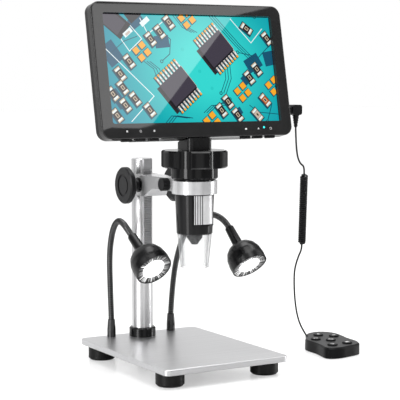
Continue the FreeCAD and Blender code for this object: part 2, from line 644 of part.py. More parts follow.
# Microscope tube with its collar, grip, hood, optics and lights
def make_tube():
    tube = turned([
        (TUBE_BORE_RADIUS, TUBE_BOTTOM), (TUBE_BOTTOM_RADIUS - 0.6, TUBE_BOTTOM),
        (TUBE_BOTTOM_RADIUS, TUBE_BOTTOM + 0.6), (TUBE_RADIUS, TUBE_TAPER_TOP), (TUBE_RADIUS, TUBE_SHOULDER),
        (SPIGOT_RADIUS, TUBE_SHOULDER), (SPIGOT_RADIUS, NECK_BOTTOM), (SPIGOT_BORE_RADIUS, NECK_BOTTOM),
        (SPIGOT_BORE_RADIUS, TUBE_BORE_TOP), (TUBE_BORE_RADIUS, TUBE_BORE_TOP),
    ], HEAD_LINE_X, TUBE_Y)
    frame = sector(GRIP_FRAME_RADIUS, GRIP_SEAT_RADIUS, GRIP_FRAME_ANGLE, GRIP_FRAME_BOTTOM, GRIP_FRAME_TOP)
    tube = tube.fuse(frame)
    tube = tube.cut(sector(GRIP_FRAME_RADIUS + 1, GRIP_SEAT_RADIUS, GRIP_HALF_ANGLE, GRIP_BOTTOM, GRIP_TOP))
    save("tube_shell", tube)
    panel = sector(GRIP_RADIUS, GRIP_SEAT_RADIUS, GRIP_HALF_ANGLE, GRIP_BOTTOM, GRIP_TOP)
    for step in range(GRIP_RIB_COUNT):
        angle = math.radians(-90 - GRIP_HALF_ANGLE + GRIP_RIB_PITCH_ANGLE * (step + 1))
        x = HEAD_LINE_X + GRIP_RADIUS * math.cos(angle)
        y = TUBE_Y + GRIP_RADIUS * math.sin(angle)
        groove = block(-GRIP_RIB_DEPTH, GRIP_RIB_DEPTH, -GRIP_RIB_WIDTH / 2, GRIP_RIB_WIDTH / 2, GRIP_BOTTOM, GRIP_TOP)
        groove.rotate(vec(0, 0, 0), vec(0, 0, 1), math.degrees(angle))
        groove.translate(vec(x, y, 0))
        panel = panel.cut(groove)
    save("grip_panel", panel)
    collar = turned([
        (SPIGOT_RADIUS, TUBE_SHOULDER), (UPPER_COLLAR_RADIUS - UPPER_COLLAR_BREAK, TUBE_SHOULDER),
        (UPPER_COLLAR_RADIUS, TUBE_SHOULDER + UPPER_COLLAR_BREAK), (UPPER_COLLAR_RADIUS, UPPER_COLLAR_TOP),
        (SPIGOT_RADIUS, UPPER_COLLAR_TOP),
    ], HEAD_LINE_X, TUBE_Y)
    save("upper_collar", collar)


def sector(outer, inner, half_angle, z0, z1):
    """Wedge of a ring round the tube's axis, centred on its front."""
    ring = post(outer, HEAD_LINE_X, TUBE_Y, z0, z1).cut(post(inner, HEAD_LINE_X, TUBE_Y, z0, z1))
    reach = outer / math.cos(math.radians(half_angle)) + 1
    spread = reach * math.sin(math.radians(half_angle))
    ahead = reach * math.cos(math.radians(half_angle))
    wedge = plate_xy([
        (HEAD_LINE_X, TUBE_Y), (HEAD_LINE_X - spread, TUBE_Y - ahead), (HEAD_LINE_X + spread, TUBE_Y - ahead),
    ], z0, z1)
    return ring.common(wedge)


def make_focus_wheel():
    bottom = UPPER_COLLAR_TOP + WHEEL_PLAY
    bore = SPIGOT_RADIUS + WHEEL_BORE_CLEARANCE
    wheel = turned([
        (bore, bottom), (WHEEL_RADIUS - WHEEL_EDGE_RADIUS, bottom), (WHEEL_RADIUS, bottom + WHEEL_EDGE_RADIUS),
        (WHEEL_RADIUS, WHEEL_TOP - WHEEL_EDGE_RADIUS), (WHEEL_RADIUS - WHEEL_EDGE_RADIUS, WHEEL_TOP),
        (bore, WHEEL_TOP),
    ], HEAD_LINE_X, TUBE_Y)
    reach = WHEEL_RADIUS - WHEEL_SCALLOP_DEPTH + WHEEL_SCALLOP_RADIUS
    for step in range(WHEEL_LOBES):
        angle = math.tau * (step + 0.5) / WHEEL_LOBES + math.radians(WHEEL_LOBE_TURN)
        x = HEAD_LINE_X + reach * math.cos(angle)
        y = TUBE_Y + reach * math.sin(angle)
        wheel = wheel.cut(post(WHEEL_SCALLOP_RADIUS, x, y, bottom, WHEEL_TOP))
    save("focus_wheel", wheel)


def make_optics():
    hood_top = TUBE_BOTTOM
    spigot_top = TUBE_BOTTOM + HOOD_SPIGOT_HEIGHT
    spigot_inner = HOOD_TOP_RADIUS - HOOD_WALL - 1.0
    hood = turned([
        (HOOD_BOTTOM_RADIUS - HOOD_WALL, HOOD_BOTTOM), (HOOD_BOTTOM_RADIUS, HOOD_BOTTOM), (HOOD_TOP_RADIUS, hood_top),
        (TUBE_BORE_RADIUS, hood_top), (TUBE_BORE_RADIUS, spigot_top), (spigot_inner, spigot_top),
        (spigot_inner, hood_top - 1.0),
    ], HEAD_LINE_X, TUBE_Y)
    save("clear_hood", hood)
    barrel = turned([
        (GLASS_RADIUS, LENS_TIP), (LENS_TIP_RADIUS, LENS_TIP), (LENS_CONE_RADIUS, LENS_CONE_START),
        (LENS_CONE_RADIUS, BARREL_TOP), (BARREL_BORE_RADIUS, BARREL_TOP), (BARREL_BORE_RADIUS, LENS_CONE_START),
        (GLASS_RADIUS, LENS_TIP + GLASS_THICKNESS),
    ], HEAD_LINE_X, TUBE_Y)
    save("lens_barrel", barrel)
    save("front_lens", post(GLASS_RADIUS, HEAD_LINE_X, TUBE_Y, LENS_TIP + 0.2, LENS_TIP + GLASS_THICKNESS))
    ring_top = spigot_top + LED_RING_THICKNESS
    board = post(TUBE_BORE_RADIUS, HEAD_LINE_X, TUBE_Y, spigot_top, ring_top)
    pieces = [board.cut(post(LENS_CONE_RADIUS, HEAD_LINE_X, TUBE_Y, spigot_top, ring_top))]
    for step in range(LED_COUNT):
        angle = math.tau * step / LED_COUNT
        x = HEAD_LINE_X + LED_CIRCLE_RADIUS * math.cos(angle)
        y = TUBE_Y + LED_CIRCLE_RADIUS * math.sin(angle)
        bulb = post(LED_RADIUS, x, y, spigot_top - LED_LENGTH, spigot_top)
        tip = Part.makeSphere(LED_RADIUS, vec(x, y, spigot_top - LED_LENGTH))
        pieces.append(bulb.fuse(tip))
    save("led_ring", fused(pieces))
    sensor_top = BARREL_TOP + SENSOR_BOARD_THICKNESS
    sensor_board = post(TUBE_BORE_RADIUS, HEAD_LINE_X, TUBE_Y, BARREL_TOP, sensor_top)
    half = SENSOR_SIZE / 2
    chip = block(HEAD_LINE_X - half, HEAD_LINE_X + half, TUBE_Y - half, TUBE_Y + half, BARREL_TOP - 1.0, BARREL_TOP)
    save("sensor_board", sensor_board.fuse(chip))


# Neck, hinge pin and the screen that tilts on it
def screen_point(depth, height):
    """World (y, z) of a point given by its depth into the screen and its height up the face."""
    return (SCREEN_FACE_Y + depth * TILT_COS + height * TILT_SIN,
            SCREEN_FACE_Z - depth * TILT_SIN + height * TILT_COS)


def on_screen(shape):
    """Tilt a shape drawn in the screen's axes and put it in its place."""
    placed = shape.copy()
    placed.rotate(vec(0, 0, 0), vec(1, 0, 0), -SCREEN_TILT)
    placed.translate(vec(HEAD_LINE_X, SCREEN_FACE_Y, SCREEN_FACE_Z))
    return placed


def under_screen(y):
    """Height of the neck's top, which lies a small gap below the screen's underside."""
    front_y, front_z = screen_point(0, SCREEN_BOTTOM)
    return front_z - (y - front_y) * math.tan(math.radians(SCREEN_TILT)) - NECK_GAP / TILT_COS


def make_neck():
    front = TUBE_Y - NECK_HALF_WIDTH
    back = TUBE_Y + NECK_BACK_DEPTH
    foot = plate_yz([
        (front, NECK_BOTTOM), (front, under_screen(front)), (back, under_screen(back)), (back, NECK_BOTTOM),
    ], HEAD_LINE_X - NECK_HALF_WIDTH, HEAD_LINE_X + NECK_HALF_WIDTH)
    foot = foot.makeFillet(NECK_CORNER_RADIUS, edges_along(foot, vec(0, 0, 1)))
    x0, x1 = HEAD_LINE_X - RISER_HALF_WIDTH, HEAD_LINE_X + RISER_HALF_WIDTH
    riser = plate_yz([
        (back - 4.0, NECK_BOTTOM), (back - 4.0, under_screen(back - 4.0)),
        (HINGE_Y - HINGE_BARREL_RADIUS * 0.97, HINGE_Z + HINGE_BARREL_RADIUS * 0.25),
        (HINGE_Y + HINGE_BARREL_RADIUS * 0.97, HINGE_Z - HINGE_BARREL_RADIUS * 0.25),
        (back, NECK_BOTTOM),
    ], x0, x1)
    barrel = rod_x(HINGE_BARREL_RADIUS, x0, x1, HINGE_Y, HINGE_Z)
    neck = fused([foot, riser, barrel])
    neck = neck.cut(rod_x(HINGE_PIN_RADIUS, x0, x1, HINGE_Y, HINGE_Z))
    save("neck_post", neck)
    lug_end = RISER_HALF_WIDTH + LUG_GAP + LUG_THICKNESS
    head_start = lug_end + LUG_GAP
    pin = rod_x(HINGE_PIN_RADIUS, HEAD_LINE_X - head_start, HEAD_LINE_X + head_start, HINGE_Y, HINGE_Z)
    left_head = rod_x(PIN_HEAD_RADIUS, HEAD_LINE_X - head_start - PIN_HEAD_LENGTH, HEAD_LINE_X - head_start,
                      HINGE_Y, HINGE_Z)
    right_head = rod_x(PIN_HEAD_RADIUS, HEAD_LINE_X + head_start, HEAD_LINE_X + head_start + PIN_HEAD_LENGTH,
                       HINGE_Y, HINGE_Z)
    save("hinge_pin", fused([pin, left_head, right_head]))


def rounded_slab(half_width, bottom, top, front, back, corner):
    """Slab in the screen's axes with rounded corners in its face outline."""
    slab = block(-half_width, half_width, front, back, bottom, top)
    return slab.makeFillet(corner, edges_along(slab, vec(0, 1, 0)))


def make_front_frame():
    frame = rounded_slab(SCREEN_HALF_WIDTH, SCREEN_BOTTOM, SCREEN_TOP, 0, FRAME_DEPTH, SCREEN_CORNER_RADIUS)
    frame = frame.makeFillet(FRAME_EDGE_RADIUS, edges_at(frame, "y", 0))
    inner_corner = SCREEN_CORNER_RADIUS - SCREEN_WALL
    frame = frame.cut(rounded_slab(SCREEN_HALF_WIDTH - SCREEN_WALL, SCREEN_BOTTOM + SCREEN_WALL,
                                   SCREEN_TOP - SCREEN_WALL, FRAME_FRONT_WALL, FRAME_DEPTH, inner_corner))
    frame = frame.cut(rounded_slab(WINDOW_WIDTH / 2, -WINDOW_HEIGHT / 2, WINDOW_HEIGHT / 2,
                                   0, FRAME_FRONT_WALL, WINDOW_CORNER_RADIUS))
    bosses = []
    for x, z in boss_places():
        bosses.append(rod_y(BOSS_RADIUS, x, FRAME_FRONT_WALL, FRAME_DEPTH, z))
    frame = fused([frame] + bosses)
    for x, z in boss_places():
        frame = frame.cut(rod_y(PILOT_RADIUS, x, FRAME_FRONT_WALL, FRAME_DEPTH, z))
    for x in KEY_POSITIONS:
        half = KEY_WIDTH / 2 + KEY_CLEARANCE
        frame = frame.cut(block(x - half, x + half, KEY_FRONT - KEY_CLEARANCE, KEY_BACK + KEY_CLEARANCE,
                                SCREEN_BOTTOM, SCREEN_BOTTOM + SCREEN_WALL))
        flange = half + KEY_FLANGE_EXTRA + KEY_CLEARANCE
        top = SCREEN_BOTTOM + SCREEN_WALL + KEY_FLANGE_HEIGHT + KEY_TRAVEL + 2 * KEY_CLEARANCE
        frame = frame.cut(block(x - flange, x + flange, KEY_FRONT - KEY_CLEARANCE, KEY_BACK + KEY_CLEARANCE,
                                SCREEN_BOTTOM + SCREEN_WALL, top))
    frame = frame.cut(rod_y(LED_WINDOW_RADIUS, LED_WINDOW_X, 0, FRAME_FRONT_WALL, LED_WINDOW_Z))
    frame = frame.cut(jack_hole())
    save("front_frame", on_screen(frame))
    window = rod_y(LED_WINDOW_RADIUS, LED_WINDOW_X, 0, FRAME_FRONT_WALL, LED_WINDOW_Z)
    save("power_light", on_screen(window))


def boss_places():
    return [(side * BOSS_X, z) for side in (-1, 1) for z in (BOSS_BOTTOM, BOSS_TOP)]


def standoff_places():
    x = BOARD_HALF_WIDTH - STANDOFF_INSET
    return [(side * x, z) for side in (-1, 1) for z in (BOARD_BOTTOM + STANDOFF_INSET, BOARD_TOP - STANDOFF_INSET)]


def bulge(margin, front, back):
    """Thicker middle of the back, with sloping sides, drawn in by a margin."""
    low = SCREEN_BOTTOM + margin
    high = BULGE_TOP - margin
    wide = BULGE_HALF_WIDTH - margin
    solid = block(-wide, wide, front, back, low, high)
    ends = [edge for edge in edges_at(solid, "y", back) if edge.BoundBox.ZMax > low + 0.01]
    return solid.makeChamfer(BULGE_SLOPE, ends)


def make_back_shell():
    shell = rounded_slab(SCREEN_HALF_WIDTH, SCREEN_BOTTOM, SCREEN_TOP, FRAME_DEPTH, SHELL_BACK, SCREEN_CORNER_RADIUS)
    shell = shell.makeFillet(SHELL_EDGE_RADIUS, edges_at(shell, "y", SHELL_BACK))
    shell = shell.fuse(bulge(0, FRAME_DEPTH + 2, BULGE_BACK))
    shell = shell.cut(rounded_slab(SCREEN_HALF_WIDTH - SCREEN_WALL, SCREEN_BOTTOM + SCREEN_WALL,
                                   SCREEN_TOP - SCREEN_WALL, FRAME_DEPTH, SHELL_BACK - SCREEN_WALL,
                                   SCREEN_CORNER_RADIUS - SCREEN_WALL))
    shell = shell.cut(bulge(SCREEN_WALL, FRAME_DEPTH, BULGE_BACK - SCREEN_WALL))
    pieces = [shell]
    for x, z in boss_places():
        pieces.append(rod_y(BOSS_RADIUS, x, FRAME_DEPTH, SHELL_BACK - SCREEN_WALL, z))
    for x, z in standoff_places():
        pieces.append(rod_y(STANDOFF_RADIUS, x, BOARD_FRONT + BOARD_THICKNESS, BULGE_BACK - SCREEN_WALL, z))
    shell = fused(pieces)
    for x, z in boss_places():
        shell = shell.cut(rod_y(PILOT_RADIUS, x, FRAME_DEPTH, SHELL_BACK, z))
        shell = shell.cut(rod_y(SHELL_SCREW_HEAD_RADIUS, x, SHELL_BACK - SHELL_SCREW_HEAD_HEIGHT, SHELL_BACK, z))
    for x, z in standoff_places():
        shell = shell.cut(rod_y(PILOT_RADIUS, x, BOARD_FRONT + BOARD_THICKNESS, BULGE_BACK - SCREEN_WALL, z))
    for step in range(VENT_COUNT):
        x = (step - (VENT_COUNT - 1) / 2) * VENT_PITCH
        shell = shell.cut(block(x - VENT_WIDTH / 2, x + VENT_WIDTH / 2, SHELL_BACK - SCREEN_WALL, SHELL_BACK,
                                VENT_CENTRE_Z - VENT_LENGTH / 2, VENT_CENTRE_Z + VENT_LENGTH / 2))
    shell = shell.cut(jack_hole())
    shell = on_screen(shell)
    inner = RISER_HALF_WIDTH + LUG_GAP
    lugs = []
    for side in (-1, 1):
        lug_x = HEAD_LINE_X + side * (inner + LUG_THICKNESS / 2)
        lugs.append(lug(lug_x - LUG_THICKNESS / 2, lug_x + LUG_THICKNESS / 2))
    shell = fused([shell] + lugs)
    lug_end = inner + LUG_THICKNESS
    shell = shell.cut(rod_x(HINGE_PIN_RADIUS + HINGE_CLEARANCE, HEAD_LINE_X - lug_end, HEAD_LINE_X + lug_end,
                            HINGE_Y, HINGE_Z))
    save("back_shell", shell)


def lug(x0, x1):
    """Ear that reaches from the back shell down to the hinge pin."""
    radius = HINGE_BARREL_RADIUS
    seat = BULGE_BACK - SCREEN_WALL / 2
    outline = plate_yz([
        screen_point(seat, SCREEN_BOTTOM + 18.0), (HINGE_Y + radius * 0.5, HINGE_Z + radius * 0.866),
        (HINGE_Y, HINGE_Z - radius), screen_point(seat, SCREEN_BOTTOM + 3.0),
    ], x0, x1)
    return outline.fuse(rod_x(radius, x0, x1, HINGE_Y, HINGE_Z))


def jack_axis():
    """Depth and height, in the screen's axes, of the socket in its right side."""
    middle = (PLUG_TOP + PLUG_BOTTOM) / 2
    y, z = PLUG_Y - SCREEN_FACE_Y, middle - SCREEN_FACE_Z
    return (y * TILT_COS - z * TILT_SIN, y * TILT_SIN + z * TILT_COS)


def jack_hole():
    depth, height = jack_axis()
    return rod_x(JACK_RADIUS, SCREEN_HALF_WIDTH - SCREEN_WALL, SCREEN_HALF_WIDTH, depth, height)


def make_screen_inside():
    panel = block(-PANEL_WIDTH / 2, PANEL_WIDTH / 2, FRAME_FRONT_WALL, FRAME_FRONT_WALL + PANEL_THICKNESS,
                  -PANEL_HEIGHT / 2, PANEL_HEIGHT / 2)
    save("lcd_panel", on_screen(panel))
    board_back = BOARD_FRONT + BOARD_THICKNESS
    board = block(-BOARD_HALF_WIDTH, BOARD_HALF_WIDTH, BOARD_FRONT, board_back, BOARD_BOTTOM, BOARD_TOP)
    for x, z in standoff_places():
        board = board.cut(rod_y(PILOT_RADIUS, x, BOARD_FRONT, board_back, z))
    chips = [board]
    for x, z, half in ((-20, -12, 6), (14, -16, 5), (38, -30, 4)):
        chips.append(block(x - half, x + half, BOARD_FRONT - 1.0, BOARD_FRONT, z - half, z + half))
    save("main_board", on_screen(fused(chips)))
    cell_back = BULGE_BACK - SCREEN_WALL
    cell = block(-CELL_HALF_WIDTH, CELL_HALF_WIDTH, cell_back - CELL_THICKNESS, cell_back, CELL_BOTTOM, CELL_TOP)
    cell = cell.makeFillet(1.2, edges_along(cell, vec(0, 0, 1)))
    save("battery", on_screen(cell))
    screws = []
    for x, z in boss_places():
        shank = rod_y(PILOT_RADIUS, x, FRAME_FRONT_WALL + 0.5, SHELL_BACK - SHELL_SCREW_HEAD_HEIGHT, z)
        head = rod_y(SHELL_SCREW_HEAD_RADIUS, x, SHELL_BACK - SHELL_SCREW_HEAD_HEIGHT, SHELL_BACK - 0.2, z)
        screws.append(on_screen(shank.fuse(head)))
    for x, z in standoff_places():
        shank = rod_y(PILOT_RADIUS, x, BOARD_FRONT, BULGE_BACK - SCREEN_WALL, z)
        head = rod_y(SHELL_SCREW_HEAD_RADIUS, x, BOARD_FRONT - SHELL_SCREW_HEAD_HEIGHT, BOARD_FRONT, z)
        screws.append(on_screen(shank.fuse(head)))
    save("screen_screws", *screws)


# Keys under the screen and the board with their switches
def make_keys():
    wall_top = SCREEN_BOTTOM + SCREEN_WALL
    flange_top = wall_top + KEY_FLANGE_HEIGHT
    for index, x in enumerate(KEY_POSITIONS, start=1):
        half = KEY_WIDTH / 2
        stem = block(x - half, x + half, KEY_FRONT, KEY_BACK, SCREEN_BOTTOM - KEY_PROUD, wall_top)
        stem = stem.makeFillet(0.6, edges_at(stem, "z", SCREEN_BOTTOM - KEY_PROUD))
        wide = half + KEY_FLANGE_EXTRA
        flange = block(x - wide, x + wide, KEY_FRONT, KEY_BACK, wall_top, flange_top)
        save(f"screen_button_{index}", on_screen(stem.fuse(flange)))
    board = block(-KEY_BOARD_HALF_WIDTH, KEY_BOARD_HALF_WIDTH, KEY_BOARD_FRONT, KEY_BOARD_BACK,
                  wall_top, KEY_BOARD_TOP)
    switches = [board]
    for x in KEY_POSITIONS:
        switches.append(block(x - 2.5, x + 2.5, FRAME_FRONT_WALL + 0.2, KEY_BOARD_FRONT,
                              flange_top + KEY_TRAVEL + 0.1, KEY_BOARD_TOP))
    save("key_board", on_screen(fused(switches)))


# Lamps: ferrule, bendable neck and lamp head; each neck's route starts from its ferrule's top
LEFT_NECK = [
    (0, 0, 0), (-0.9, 0.4, 31.0), (-2.1, -1.0, 59.0), (-4.1, -11.5, 80.5), (-7.3, -28.0, 89.8), (-10.5, -44.0, 88.5),
]
LEFT_STEM_START = (-11.5, -61.2, 79.6)
LEFT_LAMP_AXIS = (0.077, -0.799, -0.596)
RIGHT_NECK = [
    (0, 0, 0), (1.8, -0.1, 28.0), (5.1, -4.0, 56.0), (8.0, -14.5, 77.0), (11.0, -30.0, 89.5), (14.7, -47.0, 93.0),
]
RIGHT_STEM_START = (19.7, -66.9, 82.1)
RIGHT_LAMP_AXIS = (0.10, -0.662, -0.744)
NECK_END_RUN = 8.0
# Cords: the upper run is measured from the plug, the curl's lower end and the lower run from the column's foot
CORD_UPPER = [
    (0, 0, 0), (0.5, 0.4, -8.4), (2.0, 1.5, -18.4), (4.2, 2.9, -25.9), (7.6, 3.8, -31.5), (11.9, 3.9, -33.9),
    CURL_TOP_FROM_PLUG,
]
CORD_LOWER = [
    (122.1, -61.6, 84.3), (121.1, -57.2, 72.5), (123.5, -53.2, 60.0), (127.1, -48.8, 47.5), (131.8, -44.4, 34.0),
    (136.7, -41.4, 23.0), (142.1, -39.4, 14.5), (147.9, -38.0, 7.4),
]
CURL_STEP = 4.5


def rounded_path(points):
    """Straight runs joined by tangent arcs; returns the wire and the smallest arc radius."""
    points = [vec(*point) for point in points]
    edges = []
    radii = []
    start = points[0]
    for before, corner, after in zip(points, points[1:], points[2:]):
        back = (before - corner).normalize()
        ahead = (after - corner).normalize()
        half_turn = (math.pi - back.getAngle(ahead)) / 2
        reach = 0.45 * min((corner - before).Length, (after - corner).Length)
        radius = reach / math.tan(half_turn)
        arc_start = corner + back * reach
        arc_end = corner + ahead * reach
        bisector = (back + ahead).normalize()
        middle = corner + bisector * (radius / math.cos(half_turn) - radius)
        edges.append(Part.LineSegment(start, arc_start).toShape())
        edges.append(Part.Arc(arc_start, middle, arc_end).toShape())
        radii.append(round(radius, 1))
        start = arc_end
    edges.append(Part.LineSegment(start, points[-1]).toShape())
    return Part.Wire(edges), radii


def from_point(points, x, y, z):
    """Route points measured from one point, in their places."""
    return [(x + across, y + back, z + up) for across, back, up in points]


def tube_along(name, points, radius):
    path, radii = rounded_path(points)
    first = vec(*points[0])
    direction = vec(*points[1]) - first
    section = Part.Wire(Part.makeCircle(radius, first, direction))
    tube = path.makePipeShell([section], True, False, 2)
    expected = math.pi * radius ** 2 * path.Length
    print(name, "radii", radii, "length", round(path.Length, 1), "volume ratio", round(tube.Volume / expected, 4))
    return tube


def along(shape, origin, direction):
    """Move a shape drawn along +Z from the origin so that it starts at a point and runs along a direction."""
    placed = shape.copy()
    placed.Placement = FreeCAD.Placement(vec(*origin), FreeCAD.Rotation(vec(0, 0, 1), direction))
    return placed


def make_lamp(side, neck, stem_start, lamp_axis):
    sign = -1 if side == "left" else 1
    x = sign * FERRULE_X
    top = PLATE_TOP + FERRULE_HEIGHT
    ferrule = turned([
        (0, FOOT_HEIGHT - NUT_HEIGHT - 1.0), (STUD_RADIUS, FOOT_HEIGHT - NUT_HEIGHT - 1.0), (STUD_RADIUS, PLATE_TOP),
        (FERRULE_BOTTOM_RADIUS, PLATE_TOP), (FERRULE_BOTTOM_RADIUS, PLATE_TOP + 6.0), (FERRULE_TOP_RADIUS, top),
        (0, top),
    ], x, FERRULE_Y)
    axis = vec(*lamp_axis).normalize()
    stem_start = from_point([stem_start], x, FERRULE_Y, top)[0]
    end_run = vec(*stem_start) - axis * NECK_END_RUN
    route = from_point(neck, x, FERRULE_Y, top) + [tuple(end_run), stem_start]
    save(f"gooseneck_{side}", tube_along(f"gooseneck_{side}", route, NECK_TUBE_RADIUS))
    rim = SHADE_DEPTH
    cup = LAMP_STEM_LENGTH + rim * LAMP_CUP_SHARE
    shade = turned([
        (0, 0), (LAMP_STEM_RADIUS - 1.1, 0), (LAMP_STEM_RADIUS - 0.6, 0.5),
        (LAMP_STEM_RADIUS, LAMP_STEM_LENGTH), (SHADE_RADIUS * 0.62, LAMP_STEM_LENGTH + rim * 0.09),
        (SHADE_RADIUS * 0.82, LAMP_STEM_LENGTH + rim * 0.24), (SHADE_RADIUS * 0.95, LAMP_STEM_LENGTH + rim * 0.46),
        (SHADE_RADIUS, LAMP_STEM_LENGTH + rim * 0.74), (SHADE_RADIUS - 0.3, LAMP_STEM_LENGTH + rim),
        (SHADE_RADIUS - SHADE_WALL, LAMP_STEM_LENGTH + rim), (LAMP_CUP_RADIUS, cup), (0, cup),
    ])
    save(f"lamp_{side}_shade", along(shade, stem_start, axis))
    chip = post(LAMP_LED_RADIUS, 0, 0, cup, cup + LAMP_LED_THICKNESS)
    led_top = cup + LAMP_LED_THICKNESS
    lens = turned([
        (0, led_top), (LAMP_LED_RADIUS, led_top), (LAMP_LED_RADIUS + 1.2, led_top + 1.0),
        (LAMP_LED_RADIUS * 0.7, led_top + LENS_DISC_THICKNESS), (0, led_top + LENS_DISC_THICKNESS + 0.6),
    ])
    save(f"lamp_{side}_light", along(chip, stem_start, axis), along(lens, stem_start, axis))
    nut = hexagon(NUT_RADIUS, x, FERRULE_Y, FOOT_HEIGHT - NUT_HEIGHT, FOOT_HEIGHT)
    return ferrule, nut.cut(post(STUD_RADIUS, x, FERRULE_Y, FOOT_HEIGHT - NUT_HEIGHT, FOOT_HEIGHT))


# Remote: lower shell, upper shell, board and six keys
REMOTE_OUTLINE = [
    (138.7, 16.4), (143.4, 23.2), (150.7, 26.8), (158.9, 27.3), (165.8, 22.5), (168.8, 7.1), (164.6, -13.8),
    (163.2, -27.6), (157.9, -36.9), (143.1, -42.2), (128.7, -43.7), (122.0, -39.8), (122.2, -32.3),
    (125.6, -17.9), (126.5, -4.1), (129.6, 5.0),
]


def remote_slab(inset, z0, z1):
    """Slab with the remote's waisted outline, drawn in by an inset."""
    points = []
    count = len(REMOTE_OUTLINE)
    for index, (x, y) in enumerate(REMOTE_OUTLINE):
        before_x, before_y = REMOTE_OUTLINE[index - 1]
        after_x, after_y = REMOTE_OUTLINE[(index + 1) % count]
        length = math.hypot(after_x - before_x, after_y - before_y)
        inward_x = (after_y - before_y) / length
        inward_y = -(after_x - before_x) / length
        points.append(vec(x + inset * inward_x, y + inset * inward_y, z0))
    spline = Part.BSplineCurve()
    spline.interpolate(Points=points, PeriodicFlag=True)
    solid = Part.Face(Part.Wire(spline.toShape())).extrude(vec(0, 0, z1 - z0))
    return Part.makeSolid(solid.Shells[0]) if not solid.Solids else solid


def make_remote():
    cavity_bottom = REMOTE_WALL
    cavity_top = REMOTE_TOP - REMOTE_WALL
    base = remote_slab(0, 0, REMOTE_BASE_TOP).cut(remote_slab(REMOTE_WALL, cavity_bottom, REMOTE_BASE_TOP))
    cover = remote_slab(0, REMOTE_BASE_TOP, REMOTE_TOP)
    cover = cover.makeChamfer(REMOTE_EDGE_RADIUS, edges_at(cover, "z", REMOTE_TOP))
    cover = cover.cut(remote_slab(REMOTE_WALL, REMOTE_BASE_TOP, cavity_top))
    board_bottom = REMOTE_BASE_TOP - REMOTE_BOARD_THICKNESS
    pillars = [base]
    for x, y in REMOTE_KEYS[1], REMOTE_KEYS[2], REMOTE_KEYS[4], REMOTE_KEYS[5]:
        pillars.append(post(2.0, x, y, cavity_bottom, board_bottom))
    base = fused(pillars)
    board = remote_slab(REMOTE_WALL + 0.4, board_bottom, REMOTE_BASE_TOP)
    domes = [board]
    key_bottom = REMOTE_BASE_TOP + REMOTE_DOME_HEIGHT + REMOTE_KEY_TRAVEL
    for index, (x, y) in enumerate(REMOTE_KEYS, start=1):
        cover = cover.cut(post(REMOTE_KEY_RADIUS + REMOTE_KEY_CLEARANCE, x, y, cavity_top, REMOTE_TOP))
        domes.append(post(REMOTE_DOME_RADIUS, x, y, REMOTE_BASE_TOP, REMOTE_BASE_TOP + REMOTE_DOME_HEIGHT))
        key_top = REMOTE_TOP + REMOTE_KEY_PROUD
        key = turned([
            (0, key_bottom), (REMOTE_KEY_RADIUS + 0.9, key_bottom), (REMOTE_KEY_RADIUS + 0.9, cavity_top),
            (REMOTE_KEY_RADIUS, cavity_top), (REMOTE_KEY_RADIUS, key_top - 0.4), (REMOTE_KEY_RADIUS - 0.4, key_top),
            (0, key_top),
        ], x, y)
        save(f"remote_button_{index}", key)
    before_end, end = [vec(*point) for point in from_point(CORD_LOWER[-2:], HEAD_LINE_X, COLUMN_Y, 0)]
    direction = (before_end - end).normalize()
    inner = end - direction * REMOTE_GLAND_LENGTH
    cord_way = Part.makeCylinder(CORD_RADIUS + CORD_CLEARANCE, REMOTE_GLAND_LENGTH + REMOTE_TOP, inner, direction)
    cover = cover.cut(cord_way)
    gland = Part.makeCone(REMOTE_GLAND_RADIUS, CORD_RADIUS + 0.5, REMOTE_GLAND_LENGTH, inner, direction)
    gland = gland.cut(remote_slab(0, 0, REMOTE_TOP))
    save("remote_gland", max(gland.Solids, key=lambda solid: solid.Volume))
    save("remote_base", base)
    save("remote_cover", cover)
    save("remote_board", fused(domes))


